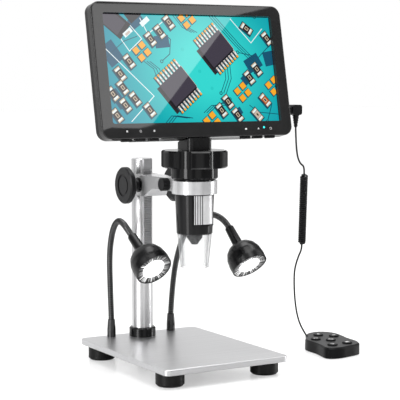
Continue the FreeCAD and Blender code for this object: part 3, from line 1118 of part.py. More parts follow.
# Plug, socket and the remote's cord
def make_plug_and_cord():
    middle = (PLUG_TOP + PLUG_BOTTOM) / 2
    side = HEAD_LINE_X + SCREEN_HALF_WIDTH
    body = block(PLUG_BODY_LEFT, PLUG_BODY_RIGHT, PLUG_Y - PLUG_HALF_DEPTH, PLUG_Y + PLUG_HALF_DEPTH,
                 PLUG_BOTTOM, PLUG_TOP)
    body = body.makeFillet(2.0, edges_along(body, vec(0, 1, 0)))
    barrel = rod_x(PLUG_BARREL_RADIUS, side, PLUG_BODY_LEFT, PLUG_Y, middle)
    pin = rod_x(JACK_PIN_RADIUS, side - JACK_DEPTH, side, PLUG_Y, middle)
    profile = [(0, PLUG_BOTTOM), (RELIEF_TOP_RADIUS, PLUG_BOTTOM)]
    step = (PLUG_BOTTOM - RELIEF_BOTTOM) / (2 * RELIEF_GROOVES)
    for index in range(1, 2 * RELIEF_GROOVES):
        share = index / (2 * RELIEF_GROOVES)
        radius = RELIEF_TOP_RADIUS + share * (RELIEF_BOTTOM_RADIUS - RELIEF_TOP_RADIUS)
        height = PLUG_BOTTOM - index * step
        if index % 2:
            profile += [(radius, height), (radius - 0.4, height)]
        else:
            profile += [(radius - 0.4, height), (radius, height)]
    profile += [(RELIEF_BOTTOM_RADIUS, RELIEF_BOTTOM), (0, RELIEF_BOTTOM)]
    relief = turned(profile, PLUG_X, PLUG_Y)
    save("remote_plug", fused([body, barrel, pin, relief]))
    socket = rod_x(JACK_RADIUS, side - JACK_DEPTH - 1.5, side, PLUG_Y, middle)
    save("remote_jack", socket.cut(pin))
    upper = from_point(CORD_UPPER, PLUG_X, PLUG_Y, RELIEF_BOTTOM)
    curl_bottom = from_point([CURL_BOTTOM_FROM_COLUMN], HEAD_LINE_X, COLUMN_Y, 0)[0]
    top, bottom = vec(*upper[-1]), vec(*curl_bottom)
    axis = (bottom - top).normalize()
    height = (bottom - top).Length
    save("cord_curl", Part.makeCylinder(CURL_RADIUS, height, top, axis))
    lower = [curl_bottom, tuple(bottom + axis * CURL_STEP)] + from_point(CORD_LOWER, HEAD_LINE_X, COLUMN_Y, 0)
    save("cord_upper", tube_along("cord_upper", upper, CORD_RADIUS))
    save("cord_lower", tube_along("cord_lower", lower, CORD_RADIUS))


base_screws = make_base()
make_column()
make_rack()
make_carriage()
make_bushes()
make_pinion_shaft()
make_knobs()
make_clamp_screw()
make_tube()
make_focus_wheel()
make_optics()
make_neck()
make_front_frame()
make_back_shell()
make_screen_inside()
make_keys()
left_ferrule, left_nut = make_lamp("left", LEFT_NECK, LEFT_STEM_START, LEFT_LAMP_AXIS)
right_ferrule, right_nut = make_lamp("right", RIGHT_NECK, RIGHT_STEM_START, RIGHT_LAMP_AXIS)
save("lamp_ferrules", left_ferrule, right_ferrule)
save("base_screws", *base_screws, left_nut, right_nut)
make_remote()
make_plug_and_cord()
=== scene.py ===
import math
import bmesh
import bpy
from mathutils import Matrix, Vector


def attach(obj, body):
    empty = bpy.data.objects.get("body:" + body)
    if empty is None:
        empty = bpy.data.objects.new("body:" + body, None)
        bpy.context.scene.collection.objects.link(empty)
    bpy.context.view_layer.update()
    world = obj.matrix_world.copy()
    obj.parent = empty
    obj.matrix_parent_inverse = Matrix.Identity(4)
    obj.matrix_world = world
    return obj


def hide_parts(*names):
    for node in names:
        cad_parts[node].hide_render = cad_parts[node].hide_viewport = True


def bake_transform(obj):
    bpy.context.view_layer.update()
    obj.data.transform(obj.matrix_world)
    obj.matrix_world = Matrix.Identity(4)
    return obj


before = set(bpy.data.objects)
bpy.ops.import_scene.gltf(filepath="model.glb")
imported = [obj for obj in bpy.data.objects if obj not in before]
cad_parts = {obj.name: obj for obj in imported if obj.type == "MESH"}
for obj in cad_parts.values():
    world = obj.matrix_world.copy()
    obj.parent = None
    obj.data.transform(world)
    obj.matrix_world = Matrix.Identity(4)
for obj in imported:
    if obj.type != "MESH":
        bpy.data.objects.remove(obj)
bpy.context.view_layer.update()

bpy.ops.object.select_all(action="DESELECT")

# The camera stands in front and to the left, above the middle of the tube, and looks slightly down.
# Its place is a plain list of lengths, because it was fitted and not chosen.
CAMERA_PLACE = (-0.56049, -0.98752, 0.24051)
CAMERA_TURN = math.radians(-30.382)
CAMERA_PITCH = math.radians(5.099)
FOCAL_PIXELS = 1374.44
IMAGE_PIXELS = 400
SENSOR_WIDTH = 36.0

camera_place = Vector(CAMERA_PLACE)
bpy.ops.object.camera_add(location=camera_place,
                          rotation=(math.radians(90) - CAMERA_PITCH, 0, CAMERA_TURN))
camera = bpy.context.object
camera.name = "camera"
camera.data.sensor_width = SENSOR_WIDTH
camera.data.lens = FOCAL_PIXELS / IMAGE_PIXELS * SENSOR_WIDTH
camera.data.clip_end = 20
bpy.context.scene.camera = camera
bpy.context.scene.view_settings.view_transform = "Standard"


# The world is a white studio: white to the camera, and a softer grey surround for light and reflections.
# Dark upright bands stand in the surround, as the black flags beside a product table do.
# Each has its direction round the table and its half width, both in degrees.
DARK_BANDS = [(30, 9), (152, 8), (200, 7), (236, 5), (303, 27)]
BAND_SOFTNESS = math.radians(7)
BAND_LEVEL = 0.16
SURROUND_STRENGTH = 0.78

world = bpy.data.worlds.new("studio")
bpy.context.scene.world = world
world.use_nodes = True
nodes, links = world.node_tree.nodes, world.node_tree.links
nodes.clear()
world_out = nodes.new("ShaderNodeOutputWorld")
camera_light = nodes.new("ShaderNodeBackground")
camera_light.inputs["Color"].default_value = (1, 1, 1, 1)
surround = nodes.new("ShaderNodeBackground")
surround.inputs["Strength"].default_value = SURROUND_STRENGTH
light_path = nodes.new("ShaderNodeLightPath")
choose = nodes.new("ShaderNodeMixShader")
links.new(light_path.outputs["Is Camera Ray"], choose.inputs["Fac"])
links.new(surround.outputs["Background"], choose.inputs[1])
links.new(camera_light.outputs["Background"], choose.inputs[2])
links.new(choose.outputs["Shader"], world_out.inputs["Surface"])
direction = nodes.new("ShaderNodeTexCoord")
split = nodes.new("ShaderNodeSeparateXYZ")
links.new(direction.outputs["Generated"], split.inputs["Vector"])
azimuth = nodes.new("ShaderNodeMath")
azimuth.operation = "ARCTAN2"
links.new(split.outputs["Y"], azimuth.inputs[0])
links.new(split.outputs["X"], azimuth.inputs[1])
brightness = None
for band_turn, half_width in DARK_BANDS:
    away = nodes.new("ShaderNodeMath")
    away.operation = "SUBTRACT"
    away.inputs[1].default_value = math.radians(band_turn if band_turn < 180 else band_turn - 360)
    links.new(azimuth.outputs["Value"], away.inputs[0])
    distance = nodes.new("ShaderNodeMath")
    distance.operation = "ABSOLUTE"
    links.new(away.outputs["Value"], distance.inputs[0])
    ramp = nodes.new("ShaderNodeMapRange")
    ramp.interpolation_type = "SMOOTHSTEP"
    ramp.inputs["From Min"].default_value = math.radians(half_width)
    ramp.inputs["From Max"].default_value = math.radians(half_width) + BAND_SOFTNESS
    ramp.inputs["To Min"].default_value = BAND_LEVEL
    links.new(distance.outputs["Value"], ramp.inputs["Value"])
    if brightness is None:
        brightness = ramp.outputs["Result"]
    else:
        product = nodes.new("ShaderNodeMath")
        product.operation = "MULTIPLY"
        links.new(brightness, product.inputs[0])
        links.new(ramp.outputs["Result"], product.inputs[1])
        brightness = product.outputs["Value"]
links.new(brightness, surround.inputs["Color"])


# The table is a white sheet that keeps the soft shadow and a faint image of the feet.
# To the camera it is lifted to white, so that it meets the white background without a line.
TABLE_SIZE = 12
TABLE_PLACE = (0, 2.0, -0.0004)
TABLE_GLOW = 0.42


def plain_material(name):
    """New material with its shader, returned with its nodes and links."""
    material = bpy.data.materials.new(name)
    material.use_nodes = True
    return material, material.node_tree.nodes, material.node_tree.links


bpy.ops.mesh.primitive_plane_add(size=TABLE_SIZE, location=TABLE_PLACE)
table = bpy.context.object
table.name = "table"
material, nodes, links = plain_material("white_table")
shader = nodes["Principled BSDF"]
shader.inputs["Base Color"].default_value = (0.78, 0.78, 0.78, 1)
shader.inputs["Roughness"].default_value = 0.16
shader.inputs["Specular IOR Level"].default_value = 0.4
glow = nodes.new("ShaderNodeEmission")
glow.inputs["Strength"].default_value = TABLE_GLOW
path = nodes.new("ShaderNodeLightPath")
lift = nodes.new("ShaderNodeMixShader")
add = nodes.new("ShaderNodeAddShader")
links.new(shader.outputs["BSDF"], add.inputs[0])
links.new(glow.outputs["Emission"], add.inputs[1])
links.new(path.outputs["Is Camera Ray"], lift.inputs["Fac"])
links.new(shader.outputs["BSDF"], lift.inputs[1])
links.new(add.outputs["Shader"], lift.inputs[2])
links.new(lift.outputs["Shader"], nodes["Material Output"].inputs["Surface"])
table.data.materials.append(material)


# Three soft lights: a broad one above, a tall one on the left and a slim one on the right.
def soft_light(name, place, aim, width, height, power):
    """Area light of a width and height that faces a point."""
    bpy.ops.object.light_add(type="AREA", location=place)
    light = bpy.context.object
    light.name = name
    light.rotation_euler = (Vector(aim) - Vector(place)).to_track_quat("-Z", "Y").to_euler()
    light.data.shape = "RECTANGLE"
    light.data.size = width
    light.data.size_y = height
    light.data.energy = power


soft_light("top_light", (0.1, -0.1, 1.5), (0, 0, 0.1), 1.6, 1.2, 17)
soft_light("left_light", (-1.15, -0.35, 0.55), (0, 0, 0.15), 0.35, 1.1, 9)
soft_light("right_light", (1.25, -0.42, 0.5), (0, 0, 0.15), 0.2, 1.0, 5)

# The screen's plane, from the part: its face leans back about a line across the object.
SCREEN_TILT = math.radians(11.6)
SCREEN_PLACE = Vector((-0.0035, -0.0292, 0.2479))
screen_matrix = Matrix.Translation(SCREEN_PLACE) @ Matrix.Rotation(-SCREEN_TILT, 4, "X")
face_normal = (screen_matrix.to_3x3() @ Vector((0, -1, 0))).normalized()

# A white card mirrored in the display gives the slanting sheen across its upper left.
# Its corners are found by following the camera's view of each corner off the display's face.
SHEEN_CORNERS = [(40, -40), (276, -40), (140, 142), (40, 142)]
CARD_DISTANCE = 1.3
CARD_STRENGTH = 3.3


def seen_ray(column, row):
    """Direction from the camera through a pixel of the 400-pixel picture."""
    right = (column - IMAGE_PIXELS / 2) / FOCAL_PIXELS
    up = (IMAGE_PIXELS / 2 - row) / FOCAL_PIXELS
    turn = Matrix.Rotation(CAMERA_TURN, 3, "Z") @ Matrix.Rotation(math.radians(90) - CAMERA_PITCH, 3, "X")
    return (turn @ Vector((right, up, -1))).normalized()


card_points = []
mirrored_middle = None
for column, row in SHEEN_CORNERS:
    ray = seen_ray(column, row)
    reach = (SCREEN_PLACE - camera_place).dot(face_normal) / ray.dot(face_normal)
    touch = camera_place + ray * reach
    mirrored = ray - 2 * ray.dot(face_normal) * face_normal
    if mirrored_middle is None:
        mirrored_middle = mirrored.copy()
        card_anchor = touch + mirrored * CARD_DISTANCE
    along = (card_anchor - touch).dot(mirrored_middle) / mirrored.dot(mirrored_middle)
    card_points.append(touch + mirrored * along)
bpy.ops.mesh.primitive_circle_add(vertices=len(card_points), radius=1, fill_type="NGON")
card = bpy.context.object
card.name = "sheen_card"
for vertex, place in zip(card.data.vertices, card_points):
    vertex.co = place
material, nodes, links = plain_material("sheen_card_white")
glow = nodes.new("ShaderNodeEmission")
glow.inputs["Strength"].default_value = CARD_STRENGTH
links.new(glow.outputs["Emission"], nodes["Material Output"].inputs["Surface"])
card.data.materials.append(material)
card.visible_camera = False
card.visible_diffuse = False
card.visible_shadow = False


# Base plate of brushed aluminium sheet, with broken edges, on four moulded rubber feet.
# The feet are held by pan head screws from below, as is the column.
WELD_DISTANCE = 0.000002
SHARP_EDGE_ANGLE = math.radians(32)


def weld_and_shade(node, material):
    """Give a carried-over node its finish and smooth its curved faces, leaving its sharp edges."""
    piece = bpy.data.objects[node]
    for name in ("custom_normal", "sharp_edge", "sharp_face"):
        if piece.data.attributes.get(name):
            piece.data.attributes.remove(piece.data.attributes[name])
    piece.data.materials.clear()
    piece.data.materials.append(material)
    piece.data.polygons.foreach_set("use_smooth", [True] * len(piece.data.polygons))
    weld = piece.modifiers.new("weld", "WELD")
    weld.merge_threshold = WELD_DISTANCE
    split_edges = piece.modifiers.new("sharp_edges", "EDGE_SPLIT")
    split_edges.split_angle = SHARP_EDGE_ANGLE
    split_edges.use_edge_sharp = False


def brushed_metal(name, colour, stretch, roughness, relief):
    """Metal with fine lines: noise drawn out along one axis by the stretch of its mapping."""
    material, nodes, links = plain_material(name)
    shader = nodes["Principled BSDF"]
    shader.inputs["Metallic"].default_value = 1
    coordinates = nodes.new("ShaderNodeTexCoord")
    mapping = nodes.new("ShaderNodeMapping")
    mapping.inputs["Scale"].default_value = stretch
    noise = nodes.new("ShaderNodeTexNoise")
    noise.inputs["Scale"].default_value = 1
    noise.inputs["Detail"].default_value = 6
    links.new(coordinates.outputs["Object"], mapping.inputs["Vector"])
    links.new(mapping.outputs["Vector"], noise.inputs["Vector"])
    tint = nodes.new("ShaderNodeValToRGB")
    tint.color_ramp.elements[0].position = 0.3
    tint.color_ramp.elements[0].color = [channel * 0.86 for channel in colour] + [1]
    tint.color_ramp.elements[1].position = 0.7
    tint.color_ramp.elements[1].color = list(colour) + [1]
    links.new(noise.outputs["Fac"], tint.inputs["Fac"])
    links.new(tint.outputs["Color"], shader.inputs["Base Color"])
    spread = nodes.new("ShaderNodeMapRange")
    spread.inputs["To Min"].default_value = roughness * 0.8
    spread.inputs["To Max"].default_value = roughness * 1.25
    links.new(noise.outputs["Fac"], spread.inputs["Value"])
    links.new(spread.outputs["Result"], shader.inputs["Roughness"])
    bump = nodes.new("ShaderNodeBump")
    bump.inputs["Strength"].default_value = relief
    bump.inputs["Distance"].default_value = 0.0001
    links.new(noise.outputs["Fac"], bump.inputs["Height"])
    links.new(bump.outputs["Normal"], shader.inputs["Normal"])
    return material


def moulded(name, colour, roughness, grain=2500, relief=0.08, shine=0.25, metallic=0.0):
    """Moulded or painted surface with a fine even grain and slightly uneven gloss."""
    material, nodes, links = plain_material(name)
    shader = nodes["Principled BSDF"]
    shader.inputs["Metallic"].default_value = metallic
    shader.inputs["Specular IOR Level"].default_value = shine
    coordinates = nodes.new("ShaderNodeTexCoord")
    noise = nodes.new("ShaderNodeTexNoise")
    noise.inputs["Scale"].default_value = grain
    noise.inputs["Detail"].default_value = 3
    links.new(coordinates.outputs["Object"], noise.inputs["Vector"])
    broad = nodes.new("ShaderNodeTexNoise")
    broad.inputs["Scale"].default_value = 60
    broad.inputs["Detail"].default_value = 2
    links.new(coordinates.outputs["Object"], broad.inputs["Vector"])
    tint = nodes.new("ShaderNodeValToRGB")
    tint.color_ramp.elements[0].position = 0.35
    tint.color_ramp.elements[0].color = [channel * 0.88 for channel in colour] + [1]
    tint.color_ramp.elements[1].position = 0.65
    tint.color_ramp.elements[1].color = [min(1, channel * 1.08) for channel in colour] + [1]
    links.new(broad.outputs["Fac"], tint.inputs["Fac"])
    links.new(tint.outputs["Color"], shader.inputs["Base Color"])
    spread = nodes.new("ShaderNodeMapRange")
    spread.inputs["To Min"].default_value = roughness * 0.85
    spread.inputs["To Max"].default_value = min(1, roughness * 1.2)
    links.new(broad.outputs["Fac"], spread.inputs["Value"])
    links.new(spread.outputs["Result"], shader.inputs["Roughness"])
    bump = nodes.new("ShaderNodeBump")
    bump.inputs["Strength"].default_value = relief
    bump.inputs["Distance"].default_value = 0.00005
    links.new(noise.outputs["Fac"], bump.inputs["Height"])
    links.new(bump.outputs["Normal"], shader.inputs["Normal"])
    return material


plate_finish = brushed_metal("brushed_plate", (0.80, 0.80, 0.81), (12, 1400, 1400), 0.34, 0.12)
rubber_finish = moulded("foot_rubber", (0.006, 0.006, 0.006), 0.42, grain=1800, relief=0.12)
screw_finish = brushed_metal("plated_steel", (0.58, 0.59, 0.61), (900, 900, 900), 0.3, 0.05)
weld_and_shade("base_plate", plate_finish)
weld_and_shade("rubber_feet", rubber_finish)
weld_and_shade("base_screws", screw_finish)

# Column of polished bright bar with a milled slot, in which the toothed rack is screwed.
# A black moulded collar hides the joint between the column and the plate.
column_finish = brushed_metal("polished_bar", (0.84, 0.84, 0.85), (700, 700, 0.4), 0.27, 0.003)
rack_finish = brushed_metal("milled_rack", (0.66, 0.66, 0.67), (15, 900, 900), 0.34, 0.02)
satin_black = moulded("satin_black", (0.007, 0.007, 0.0075), 0.26, shine=0.38)
gloss_black = moulded("gloss_black", (0.004, 0.004, 0.0045), 0.12, relief=0.02, shine=0.34)
weld_and_shade("column", column_finish)
weld_and_shade("rack", rack_finish)
weld_and_shade("column_collar", gloss_black)

# Carriage arm cut from aluminium with a fine even finish, so it mirrors less than the polished column.
# The plastic slide bush and the flanged bushes of the pinion shaft are pressed into it.
arm_finish = moulded("arm_silver", (0.78, 0.78, 0.79), 0.24, relief=0.02, metallic=0.55)
bush_finish = moulded("bush_plastic", (0.55, 0.55, 0.52), 0.4)
weld_and_shade("carriage_arm", arm_finish)
weld_and_shade("slide_bush", bush_finish)
weld_and_shade("pinion_bushes", satin_black)
weld_and_shade("pinion_shaft", screw_finish)

# Height knobs and clamp screw, moulded in black nylon with a satin face.
knob_finish = moulded("knob_nylon", (0.014, 0.014, 0.015), 0.36, grain=1600, relief=0.1)
for node in ("knob_left", "knob_right", "clamp_screw"):
    weld_and_shade(node, knob_finish)

# Microscope tube: glossy black shell, collar, lobed focus wheel and the neck that carries the screen.
silver_finish = moulded("silver_grip", (0.86, 0.86, 0.87), 0.2, relief=0.02, metallic=0.2)
for node in ("tube_shell", "upper_collar", "focus_wheel"):
    weld_and_shade(node, gloss_black)
for node in ("neck_post", "lens_barrel"):
    weld_and_shade(node, satin_black)
weld_and_shade("hinge_pin", screw_finish)
weld_and_shade("grip_panel", silver_finish)

# The grip's left part has fine upright grooves, which read as dark lines from a distance.
# A dark line of painted shade, standing in for the shade that falls in the groove, is drawn over every second
# groove, by its angle round the tube's middle line.
HEAD_LINE_X = -0.0035
TUBE_Y = -0.0287
GRIP_LINE_FIRST = math.radians(-117.6)
GRIP_LINE_PITCH = math.radians(6.8)
GRIP_LINES = 4
GRIP_LINE_HALF_WIDTH = 0.2
GRIP_GROOVE_SHADE_COLOUR = (0.10, 0.10, 0.105, 1)

nodes, links = silver_finish.node_tree.nodes, silver_finish.node_tree.links
shader = nodes["Principled BSDF"]
place = nodes.new("ShaderNodeTexCoord")
centred = nodes.new("ShaderNodeMapping")
centred.inputs["Location"].default_value = (-HEAD_LINE_X, -TUBE_Y, 0)
links.new(place.outputs["Object"], centred.inputs["Vector"])
split = nodes.new("ShaderNodeSeparateXYZ")
links.new(centred.outputs["Vector"], split.inputs["Vector"])


def computed(operation, first, second=None):
    """One arithmetic node whose inputs are sockets or numbers."""
    node = nodes.new("ShaderNodeMath")
    node.operation = operation
    for index, value in enumerate((first, second)):
        if isinstance(value, (int, float)):
            node.inputs[index].default_value = value
        elif value is not None:
            links.new(value, node.inputs[index])
    return node.outputs["Value"]


around = computed("ARCTAN2", split.outputs["Y"], split.outputs["X"])
grooves_along = computed("DIVIDE", computed("SUBTRACT", around, GRIP_LINE_FIRST), GRIP_LINE_PITCH)
from_groove = computed("ABSOLUTE", computed("SUBTRACT", grooves_along, computed("ROUND", grooves_along)))
in_groove = computed("LESS_THAN", from_groove, GRIP_LINE_HALF_WIDTH)
in_part = computed("LESS_THAN", grooves_along, GRIP_LINES - 0.5)
# Painted shade: the dark lines are mixed into the silver colour where shade falls in the grooves.
groove_shade = nodes.new("ShaderNodeMix")
groove_shade.data_type = "RGBA"
groove_shade.inputs["B"].default_value = GRIP_GROOVE_SHADE_COLOUR
silver_colour = shader.inputs["Base Color"].links[0].from_socket
links.new(silver_colour, groove_shade.inputs["A"])
links.new(computed("MULTIPLY", in_groove, in_part), groove_shade.inputs["Factor"])
links.new(groove_shade.outputs["Result"], shader.inputs["Base Color"])

# Clear hood moulded from polycarbonate: a thin cone with a rounded lip, pushed into the tube's lower end.
# It hides almost nothing and shows chiefly where its wall is seen edge on.
HOOD_PROFILE = [
    (0.01130, 0.0870), (0.01155, 0.0872), (0.01160, 0.0877), (0.01150, 0.0883),
    (0.01280, 0.1009), (0.01410, 0.1143), (0.01250, 0.1143), (0.01250, 0.1178),
    (0.01190, 0.1178), (0.01190, 0.1133), (0.01060, 0.0999), (0.01025, 0.0875),
    (0.01045, 0.0870),
]


def turned_piece(name, profile, sides=96, loop=False, fill=True, axis_x=0.0, axis_y=0.0):
    """Draw a ring up through (radius, height) steps by extruding and resizing it, then close it."""
    bpy.ops.object.select_all(action="DESELECT")
    radius, height = profile[0]
    bpy.ops.mesh.primitive_circle_add(vertices=sides, radius=radius)
    piece = bpy.context.object
    piece.name = name
    piece.data.name = name
    bpy.ops.object.mode_set(mode="EDIT")
    bpy.ops.mesh.select_all(action="SELECT")
    bpy.ops.transform.translate(value=(axis_x, axis_y, height))
    if fill and not loop:
        bpy.ops.mesh.edge_face_add()
    steps = profile[1:] + (profile[:1] if loop else [])
    for next_radius, next_height in steps:
        bpy.ops.mesh.extrude_region_move(TRANSFORM_OT_translate={"value": (0, 0, next_height - height)})
        share = next_radius / radius
        bpy.ops.transform.resize(value=(share, share, 1), center_override=(axis_x, axis_y, next_height))
        radius, height = next_radius, next_height
    bpy.ops.mesh.select_all(action="SELECT")
    bpy.ops.mesh.remove_doubles(threshold=0.000001)
    bpy.ops.mesh.normals_make_consistent(inside=False)
    bpy.ops.object.mode_set(mode="OBJECT")
    bpy.ops.object.shade_smooth_by_angle(angle=math.radians(35))
    bpy.ops.object.select_all(action="DESELECT")
    return piece


hood = turned_piece("hood", HOOD_PROFILE, loop=True, axis_x=HEAD_LINE_X, axis_y=TUBE_Y)
hood_finish, nodes, links = plain_material("clear_polycarbonate")
shader = nodes["Principled BSDF"]
shader.inputs["Roughness"].default_value = 0.06
edge_on = nodes.new("ShaderNodeLayerWeight")
edge_on.inputs["Blend"].default_value = 0.35
clearness = nodes.new("ShaderNodeValToRGB")
clearness.color_ramp.elements[0].position = 0.18
clearness.color_ramp.elements[0].color = (0.07, 0.07, 0.07, 1)
clearness.color_ramp.elements[1].position = 0.85
clearness.color_ramp.elements[1].color = (0.8, 0.8, 0.8, 1)
flow = nodes.new("ShaderNodeTexNoise")
flow.inputs["Scale"].default_value = 90
edge_tint = nodes.new("ShaderNodeValToRGB")
edge_tint.color_ramp.elements[0].color = (0.46, 0.47, 0.48, 1)
edge_tint.color_ramp.elements[1].color = (0.62, 0.63, 0.64, 1)
place = nodes.new("ShaderNodeTexCoord")
links.new(place.outputs["Object"], flow.inputs["Vector"])
links.new(flow.outputs["Fac"], edge_tint.inputs["Fac"])
links.new(edge_tint.outputs["Color"], shader.inputs["Base Color"])
links.new(edge_on.outputs["Facing"], clearness.inputs["Fac"])
links.new(clearness.outputs["Color"], shader.inputs["Alpha"])
hood.data.materials.append(hood_finish)
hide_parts("clear_hood")
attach(hood, "head")

# Front lens of coated glass, held in the end of the black lens barrel.
glass_finish, nodes, links = plain_material("coated_glass")
shader = nodes["Principled BSDF"]
shader.inputs["Base Color"].default_value = (0.6, 0.7, 0.9, 1)
shader.inputs["Roughness"].default_value = 0.02
shader.inputs["Transmission Weight"].default_value = 0.8
weld_and_shade("front_lens", glass_finish)

# Boards and cell that the shells hold: green solder mask and a foil pouch.
board_finish = moulded("solder_mask", (0.02, 0.18, 0.08), 0.3, grain=900)
for node in ("led_ring", "sensor_board", "main_board", "key_board", "remote_board"):
    weld_and_shade(node, board_finish)
weld_and_shade("battery", brushed_metal("foil_pouch", (0.6, 0.62, 0.66), (120, 120, 120), 0.3, 0.1))

# Screen shells: a smooth glossy front frame and a satin back shell, held by small screws.
frame_finish = moulded("frame_gloss", (0.024, 0.024, 0.0245), 0.04, relief=0.0, shine=0.45)
shell_finish = moulded("shell_satin", (0.008, 0.008, 0.0085), 0.28)
weld_and_shade("front_frame", frame_finish)
weld_and_shade("back_shell", shell_finish)
weld_and_shade("screen_screws", screw_finish)
weld_and_shade("remote_jack", satin_black)
panel_finish = moulded("panel_black", (0.01, 0.01, 0.012), 0.1, relief=0.0)
weld_and_shade("lcd_panel", panel_finish)
for number in range(1, 7):
    weld_and_shade(f"screen_button_{number}", shell_finish)


def lit(name, colour, strength=1.0, roughness=0.015):
    """Lit dot of a display or lamp under a smooth clear face."""
    material, nodes, links = plain_material(name)
    shader = nodes["Principled BSDF"]
    shader.inputs["Base Color"].default_value = (0.004, 0.004, 0.004, 1)
    shader.inputs["Roughness"].default_value = roughness
    shader.inputs["Emission Color"].default_value = (*colour, 1)
    shader.inputs["Emission Strength"].default_value = strength
    return material


weld_and_shade("power_light", lit("teal_light", (0.05, 0.85, 0.85), 1.6))


# Marks over the keys: small plain shapes printed in white ink on the front frame.
# A square, a ring and a square stand on the left, and a bar, a triangle and a ring on the right.
MARK_ROW = -0.0502
MARK_THICKNESS = 0.00004
MARK_SINK = 0.00001
ink_finish = moulded("white_ink", (0.84, 0.84, 0.84), 0.5, shine=0.3)


def printed_mark(name, sides, width, height, hollow, turn=0.0):
    """Flat mark with a little thickness: a disc or polygon, made into a ring if it is hollow."""
    bpy.ops.object.select_all(action="DESELECT")
    bpy.ops.mesh.primitive_circle_add(vertices=sides, radius=0.5, fill_type="NGON")
    mark = bpy.context.object
    mark.name = name
    bpy.ops.object.mode_set(mode="EDIT")
    bpy.ops.mesh.select_all(action="SELECT")
    bpy.ops.transform.rotate(value=turn, orient_axis="Z", center_override=(0, 0, 0))
    if hollow:
        bpy.ops.mesh.inset(thickness=0.13)
        bpy.ops.mesh.delete(type="FACE")
        bpy.ops.mesh.select_all(action="SELECT")
    bpy.ops.transform.resize(value=(width, height, 1), center_override=(0, 0, 0))
    bpy.ops.mesh.extrude_region_move(TRANSFORM_OT_translate={"value": (0, 0, MARK_THICKNESS)})
    bpy.ops.mesh.select_all(action="SELECT")
    bpy.ops.mesh.normals_make_consistent(inside=False)
    bpy.ops.object.mode_set(mode="OBJECT")
    mark.data.materials.append(ink_finish)
    bpy.ops.object.select_all(action="DESELECT")
    return mark


SQUARE_TURN = math.radians(45)
frame_marks = [
    (-0.0665, 4, 0.0020, 0.0020, False, SQUARE_TURN), (-0.0545, 20, 0.0019, 0.0019, True, 0.0),
    (-0.0425, 4, 0.0020, 0.0020, False, SQUARE_TURN), (0.0425, 4, 0.0026, 0.0019, False, SQUARE_TURN),
    (0.0545, 3, 0.0021, 0.0021, False, 0.0), (0.0665, 24, 0.0021, 0.0021, True, 0.0),
]
for number, (across, sides, width, height, hollow, turn) in enumerate(frame_marks, start=1):
    mark = printed_mark(f"frame_mark_{number}", sides, width, height, hollow, turn)
    stand_up = Matrix.Translation((across, MARK_SINK, MARK_ROW)) @ Matrix.Rotation(math.radians(90), 4, "X")
    mark.data.transform(screen_matrix @ stand_up)
    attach(mark, "screen")


# Picture on the display: an enlarged circuit board, built up flat from small coloured shapes.
# It lies on the panel's face behind the window, and every shape glows as a display's dots do.
PICTURE_WIDTH = 0.1552
PICTURE_HEIGHT = 0.0872
PICTURE_DEPTH = 0.003
PICTURE_LIFT = 0.00001
LAYER = 0.000008
BOARD_TURN = math.radians(38)

picture_parts = []
flat_patterns = {}
picture_colours = {
    "deep": lit("picture_deep_mask", (0.003, 0.085, 0.16)),
    "trace": lit("picture_trace", (0.002, 0.075, 0.12)),
    "light": lit("picture_light_run", (0.02, 0.60, 0.56)),
    "white": lit("picture_white", (0.80, 0.90, 0.90)),
    "pin": lit("picture_pin", (0.56, 0.47, 0.41)),
    "shade": lit("picture_shade", (0.02, 0.016, 0.02)),
    "body": lit("picture_chip", (0.050, 0.042, 0.062)),
    "side": lit("picture_chip_side", (0.010, 0.008, 0.012)),
    "gold": lit("picture_gold", (0.95, 0.41, 0.02)),
    "tan": lit("picture_solder", (0.60, 0.49, 0.34)),
    "brown": lit("picture_brown", (0.50, 0.11, 0.02)),
}
mask = lit("picture_mask", (0.01, 0.5, 0.5))
nodes, links = mask.node_tree.nodes, mask.node_tree.links
coordinates = nodes.new("ShaderNodeTexCoord")
mapping = nodes.new("ShaderNodeMapping")
mapping.inputs["Location"].default_value = (-0.10, 0, -2.50)
mapping.inputs["Scale"].default_value = (9, 0, 10)
fade = nodes.new("ShaderNodeTexGradient")
fade.gradient_type = "SPHERICAL"
tones = nodes.new("ShaderNodeValToRGB")
tones.color_ramp.elements[0].position = 0.05
tones.color_ramp.elements[0].color = (0.002, 0.22, 0.34, 1)
tones.color_ramp.elements[1].position = 0.80
tones.color_ramp.elements[1].color = (0.03, 0.68, 0.63, 1)
middle_tone = tones.color_ramp.elements.new(0.40)
middle_tone.color = (0.003, 0.41, 0.45, 1)
links.new(coordinates.outputs["Object"], mapping.inputs["Vector"])
links.new(mapping.outputs["Vector"], fade.inputs["Vector"])
links.new(fade.outputs["Fac"], tones.inputs["Fac"])
links.new(tones.outputs["Color"], nodes["Principled BSDF"].inputs["Emission Color"])
picture_colours["mask"] = mask


def flat(colour, layer, u, v, width, height, turn=0.0, sides=4):
    """Add one flat shape at u, v in millimetres from the picture's middle, copied from one square or disc."""
    if sides not in flat_patterns:
        if sides == 4:
            bpy.ops.mesh.primitive_plane_add(size=1)
        else:
            bpy.ops.mesh.primitive_circle_add(vertices=sides, radius=0.5, fill_type="NGON")
        pattern = bpy.context.object
        flat_patterns[sides] = pattern.data.copy()
        bpy.data.objects.remove(pattern)
    mesh = flat_patterns[sides].copy()
    mesh.materials.append(picture_colours[colour])
    place = Matrix.Translation((u / 1000, v / 1000, layer * LAYER)) @ Matrix.Rotation(turn, 4, "Z")
    mesh.transform(place @ Matrix.Diagonal((width / 1000, height / 1000, 1, 1)))
    shape = bpy.data.objects.new("picture_shape", mesh)
    bpy.context.collection.objects.link(shape)
    picture_parts.append(shape)


def on_board(u, v, along, across):
    """Point of the turned board grid, set off from u, v."""
    return (u + along * math.cos(BOARD_TURN) - across * math.sin(BOARD_TURN),
            v + along * math.sin(BOARD_TURN) + across * math.cos(BOARD_TURN))


